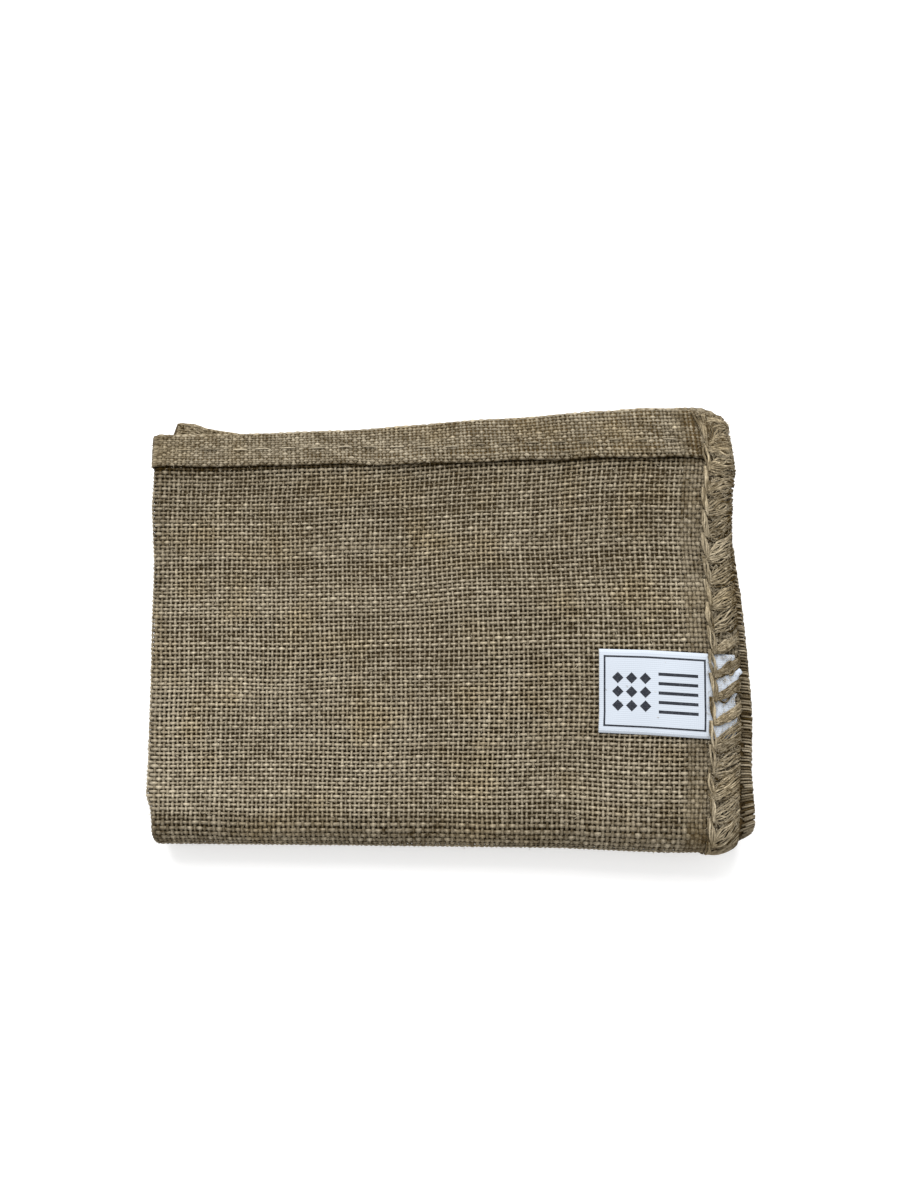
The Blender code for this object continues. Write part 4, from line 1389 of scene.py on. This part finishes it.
class SACK_OT_hem(bpy.types.Operator):
    """Weaves the hem that is turned over at the mouth, the rear hem's corner, and the running stitches."""

    bl_idname = "sack.hem"
    bl_label = "Mouth hem"

    def execute(self, context):
        settings = settings_of(context)
        sides = yarn_places(61, -HALF_BEND, LAST_SIDE, 1.95 * MM, 2.1 * MM, 0.10)
        cuts = yarn_places(62, LAST_HEM - 1 * MM, CUT_LENGTH, 1.7 * MM, 1.65 * MM, 0.14)
        sets = [*hem_weave(63, sides, cuts, settings, -0.10)]
        sides = yarn_places(66, REAR_LEFT, -HALF_BEND, FOLD_PITCH, FOLD_PITCH, 0.05)
        cuts = yarn_places(67, HEM_WIDTH - 9 * MM, FRONT_WALL + 1 * MM, 1.9 * MM, 1.9 * MM, 0.08)
        sets += hem_weave(68, sides, cuts, settings, -0.06)
        for seed, first, last, bend in HEM_EDGES:
            sides = yarn_places(seed, first, last, 2.3 * MM, 2.3 * MM, 0.05)
            ends = (bend - 1.7 * MM, bend + HEM_BEND + 1.7 * MM)
            cuts = yarn_places(seed + 1, *ends, 1.9 * MM, 1.9 * MM, 0.02)
            sets += hem_weave(seed + 20, sides, cuts, settings, -0.06)
        sets.append(running_stitches())
        piece = make_tubes("hem_yarns", sets, yarn_finish("jute_hem", settings, (900, 1900, 1900)))
        return {"FINISHED"}


class SACK_OT_seams(bpy.types.Operator):
    """Sews the overedge seams: a chain, a fan of strands at every stitch, and wraps round the edge."""

    bl_idname = "sack.seams"
    bl_label = "Overedge seams"

    def execute(self, context):
        settings = settings_of(context)
        holes = np.interp(np.arange(STITCH_COUNTS[-1]) + 0.5, STITCH_COUNTS, STITCH_ENDS)
        shown = holes > NEAR_BEND - 4 * MM
        upper = [
            fans(settings, holes[shown]),
            *chain(settings, holes[shown]),
            corner_strands(settings),
            edge_wraps(settings, 1, holes[~shown], UPPER_WRAP_TONE, 71),
        ]
        lower = [edge_wraps(settings, -1, holes, LOWER_WRAP_TONE, 72)]
        for name, sets, light, solid, slot in (
            ("upper_seam", upper, "jute_seam", "seam_twine_upper", "jute_twine"),
            ("lower_seam", lower, "jute_under", "seam_twine_lower", "jute_twine_under"),
        ):
            look = yarn_finish(name + "_twine", settings, (1600, 1600, 1600), light)
            piece = make_tubes(name, sets, look)
            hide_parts(solid)
        return {"FINISHED"}


class SACK_OT_fuzz(bpy.types.Operator):
    """Scatters short loose fibres over the weave, the folds, the hem and the seams."""

    bl_idname = "sack.fuzz"
    bl_label = "Loose fibres"

    def execute(self, context):
        draw = np.random.default_rng(90)
        sets = []
        for count, side_span, along_span, above, length, stand, tone in FUZZ:
            side = draw.uniform(*side_span, (count, 1))
            along = draw.uniform(*along_span, (count, 1))
            sets.append(hairs(draw, side, along, above, length, stand, tone))
        look = yarn_finish("loose_fibres", settings_of(context), (900, 900, 900))
        piece = make_tubes("loose_fibres", sets, look)
        return {"FINISHED"}


class SACK_OT_tab(bpy.types.Operator):
    """Lays the woven tab on the cloth, with its sewn end under the seam.

    share runs along the tab to its sewn end and row across it.  The sewn end is ragged by a ripple, and
    one place on it stands out and up as a bell curve of row.
    """

    bl_idname = "sack.tab"
    bl_label = "Tab"

    def execute(self, context):
        share, row = np.meshgrid(np.linspace(0, 1, 49), np.linspace(0, 1, 25))
        tape_right, tape_up = share * TAPE_SIZE[0] * MM, row * TAPE_SIZE[1] * MM
        along = LABEL_NEAR + (LABEL_FAR - LABEL_NEAR) * row
        along = along + LABEL_SLANT * LABEL_WIDTH * (share - 0.5)
        ragged = 0.9 * MM * ripple(81, tape_up, row, 9 * MM) * soft_step(share, 0.9, 1.0)
        tip = np.exp(-(((row - 0.80) / 0.055) ** 2)) * soft_step(share, 0.88, 1.0)
        beyond = -LABEL_UNDER_EDGE - LABEL_WIDTH * (1 - share) + ragged + 2.6 * MM * tip
        curl = 0.15 * MM * ripple(82, tape_right, tape_up, 30 * MM)
        proud = 0.30 * MM + curl + 0.25 * MM * (1 - soft_step(share, 0, 0.08)) + 1.4 * MM * tip
        side, face = np.full_like(along, SEAM_SIDE), WALL_OFFSET + CLOTH_THICK / 2
        over = folded(side, along, face, proud + LABEL_THICK, beyond)
        under = folded(side, along, face, proud, beyond)
        points = np.concatenate([over.reshape(-1, 3), under.reshape(-1, 3)])
        layout = np.tile(np.stack([share, row], axis=-1).reshape(-1, 2), (2, 1))
        look = tape_finish("printed_tape", settings_of(context))
        quads = two_faced(grid_faces(*share.shape), share.size)
        piece = make_piece("tab_tape", points, quads, look, layout=layout)
        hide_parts("label")
        return {"FINISHED"}


class SACK_OT_declare_cloth(bpy.types.Operator):
    """Works out the tab's length along the sack and keeps nothing of it."""

    bl_idname = "sack.declare_cloth"
    bl_label = "Flat sizes"

    def execute(self, context):
        LABEL_FAR - LABEL_NEAR
        return {"FINISHED"}


FLOOR_REACH = 6.0
SKY_STRENGTH = 0.70
LIGHTS = (
    # name, place, turn, size, power
    ("far_softbox", (-0.2, 1.35, 1.1), (math.radians(-51), math.radians(-8), 0.0), 1.4, 37.0),
    ("near_fill", (0.5, -1.2, 1.4), (math.radians(40), math.radians(18), 0.0), 1.4, 1.5),
)
# The camera looks down, tilted a little from the near side
CAMERA_PLACE = (1.695 * MM, -33.97 * MM, 478.45 * MM)
CAMERA_TURN = (math.radians(6), 0.0, 0.0)
SENSOR_WIDTH = 36.0
FOCAL_LENGTH_PIXELS = 950
IMAGE_WIDTH_PIXELS = 900


class SACK_OT_stage(bpy.types.Operator):
    """Sets the floor, the lights and the camera."""

    bl_idname = "sack.stage"
    bl_label = "Stage"

    def execute(self, context):
        mesh = bpy.data.meshes.new("floor")
        corners = [(FLOOR_REACH * x, FLOOR_REACH * y, 0.0) for x, y in ((-1, -1), (1, -1), (1, 1), (-1, 1))]
        mesh.from_pydata(corners, [], [(0, 1, 2, 3)])
        mesh.materials.append(floor_finish("floor", settings_of(context)))
        floor = bpy.data.objects.new("floor", mesh)
        context.scene.collection.objects.link(floor)
        world = context.scene.world or bpy.data.worlds.new("studio")
        context.scene.world = world
        world.use_nodes = True
        sky = world.node_tree.nodes["Background"]
        sky.inputs["Color"].default_value = (1.0, 1.0, 1.0, 1.0)
        sky.inputs["Strength"].default_value = SKY_STRENGTH
        for name, place, turn, size, power in LIGHTS:
            lamp = bpy.data.lights.new(name, "AREA")
            lamp.size = size
            lamp.energy = power
            put(context, name, lamp, place, turn)
        view = bpy.data.cameras.new("camera")
        view.sensor_fit = "HORIZONTAL"
        view.sensor_width = SENSOR_WIDTH
        view.lens = SENSOR_WIDTH * FOCAL_LENGTH_PIXELS / IMAGE_WIDTH_PIXELS
        view.clip_start = 0.01
        context.scene.camera = put(context, "camera", view, CAMERA_PLACE, CAMERA_TURN)
        context.scene.view_settings.view_transform = "Standard"
        return {"FINISHED"}


def put(context, name, data, place, turn):
    """An object that holds this light or camera, at its place and turn."""
    holder = bpy.data.objects.new(name, data)
    holder.location = place
    holder.rotation_euler = turn
    context.scene.collection.objects.link(holder)
    return holder


class SACK_PT_panel(bpy.types.Panel):
    """The sack's settings and pieces in the sidebar."""

    bl_idname = "SACK_PT_panel"
    bl_label = "Jute sack"
    bl_space_type = "VIEW_3D"
    bl_region_type = "UI"
    bl_category = "Jute sack"

    def draw(self, context):
        for name in SackSettings.__annotations__:
            self.layout.prop(settings_of(context), name)
        for operator in OPERATORS:
            self.layout.operator(operator.bl_idname)


OPERATORS = (
    SACK_OT_inner_cloth,
    SACK_OT_top_weave,
    SACK_OT_folds_weave,
    SACK_OT_hem,
    SACK_OT_seams,
    SACK_OT_fuzz,
    SACK_OT_tab,
    SACK_OT_declare_cloth,
    SACK_OT_stage,
)


def register():
    """Makes the settings, the operators and the panel known to Blender."""
    bpy.utils.register_class(SackSettings)
    bpy.types.Scene.sack_settings = bpy.props.PointerProperty(type=SackSettings)
    for operator in OPERATORS:
        bpy.utils.register_class(operator)
    bpy.utils.register_class(SACK_PT_panel)


def unregister():
    """Takes away what register() made."""
    bpy.utils.unregister_class(SACK_PT_panel)
    for operator in reversed(OPERATORS):
        bpy.utils.unregister_class(operator)
    del bpy.types.Scene.sack_settings
    bpy.utils.unregister_class(SackSettings)


def main():
    register()
    for operator in OPERATORS:
        group, name = operator.bl_idname.split(".")
        if getattr(getattr(bpy.ops, group), name)() != {"FINISHED"}:
            raise RuntimeError(f"{operator.bl_idname} did not finish")


if __name__ == "__main__":
    main()
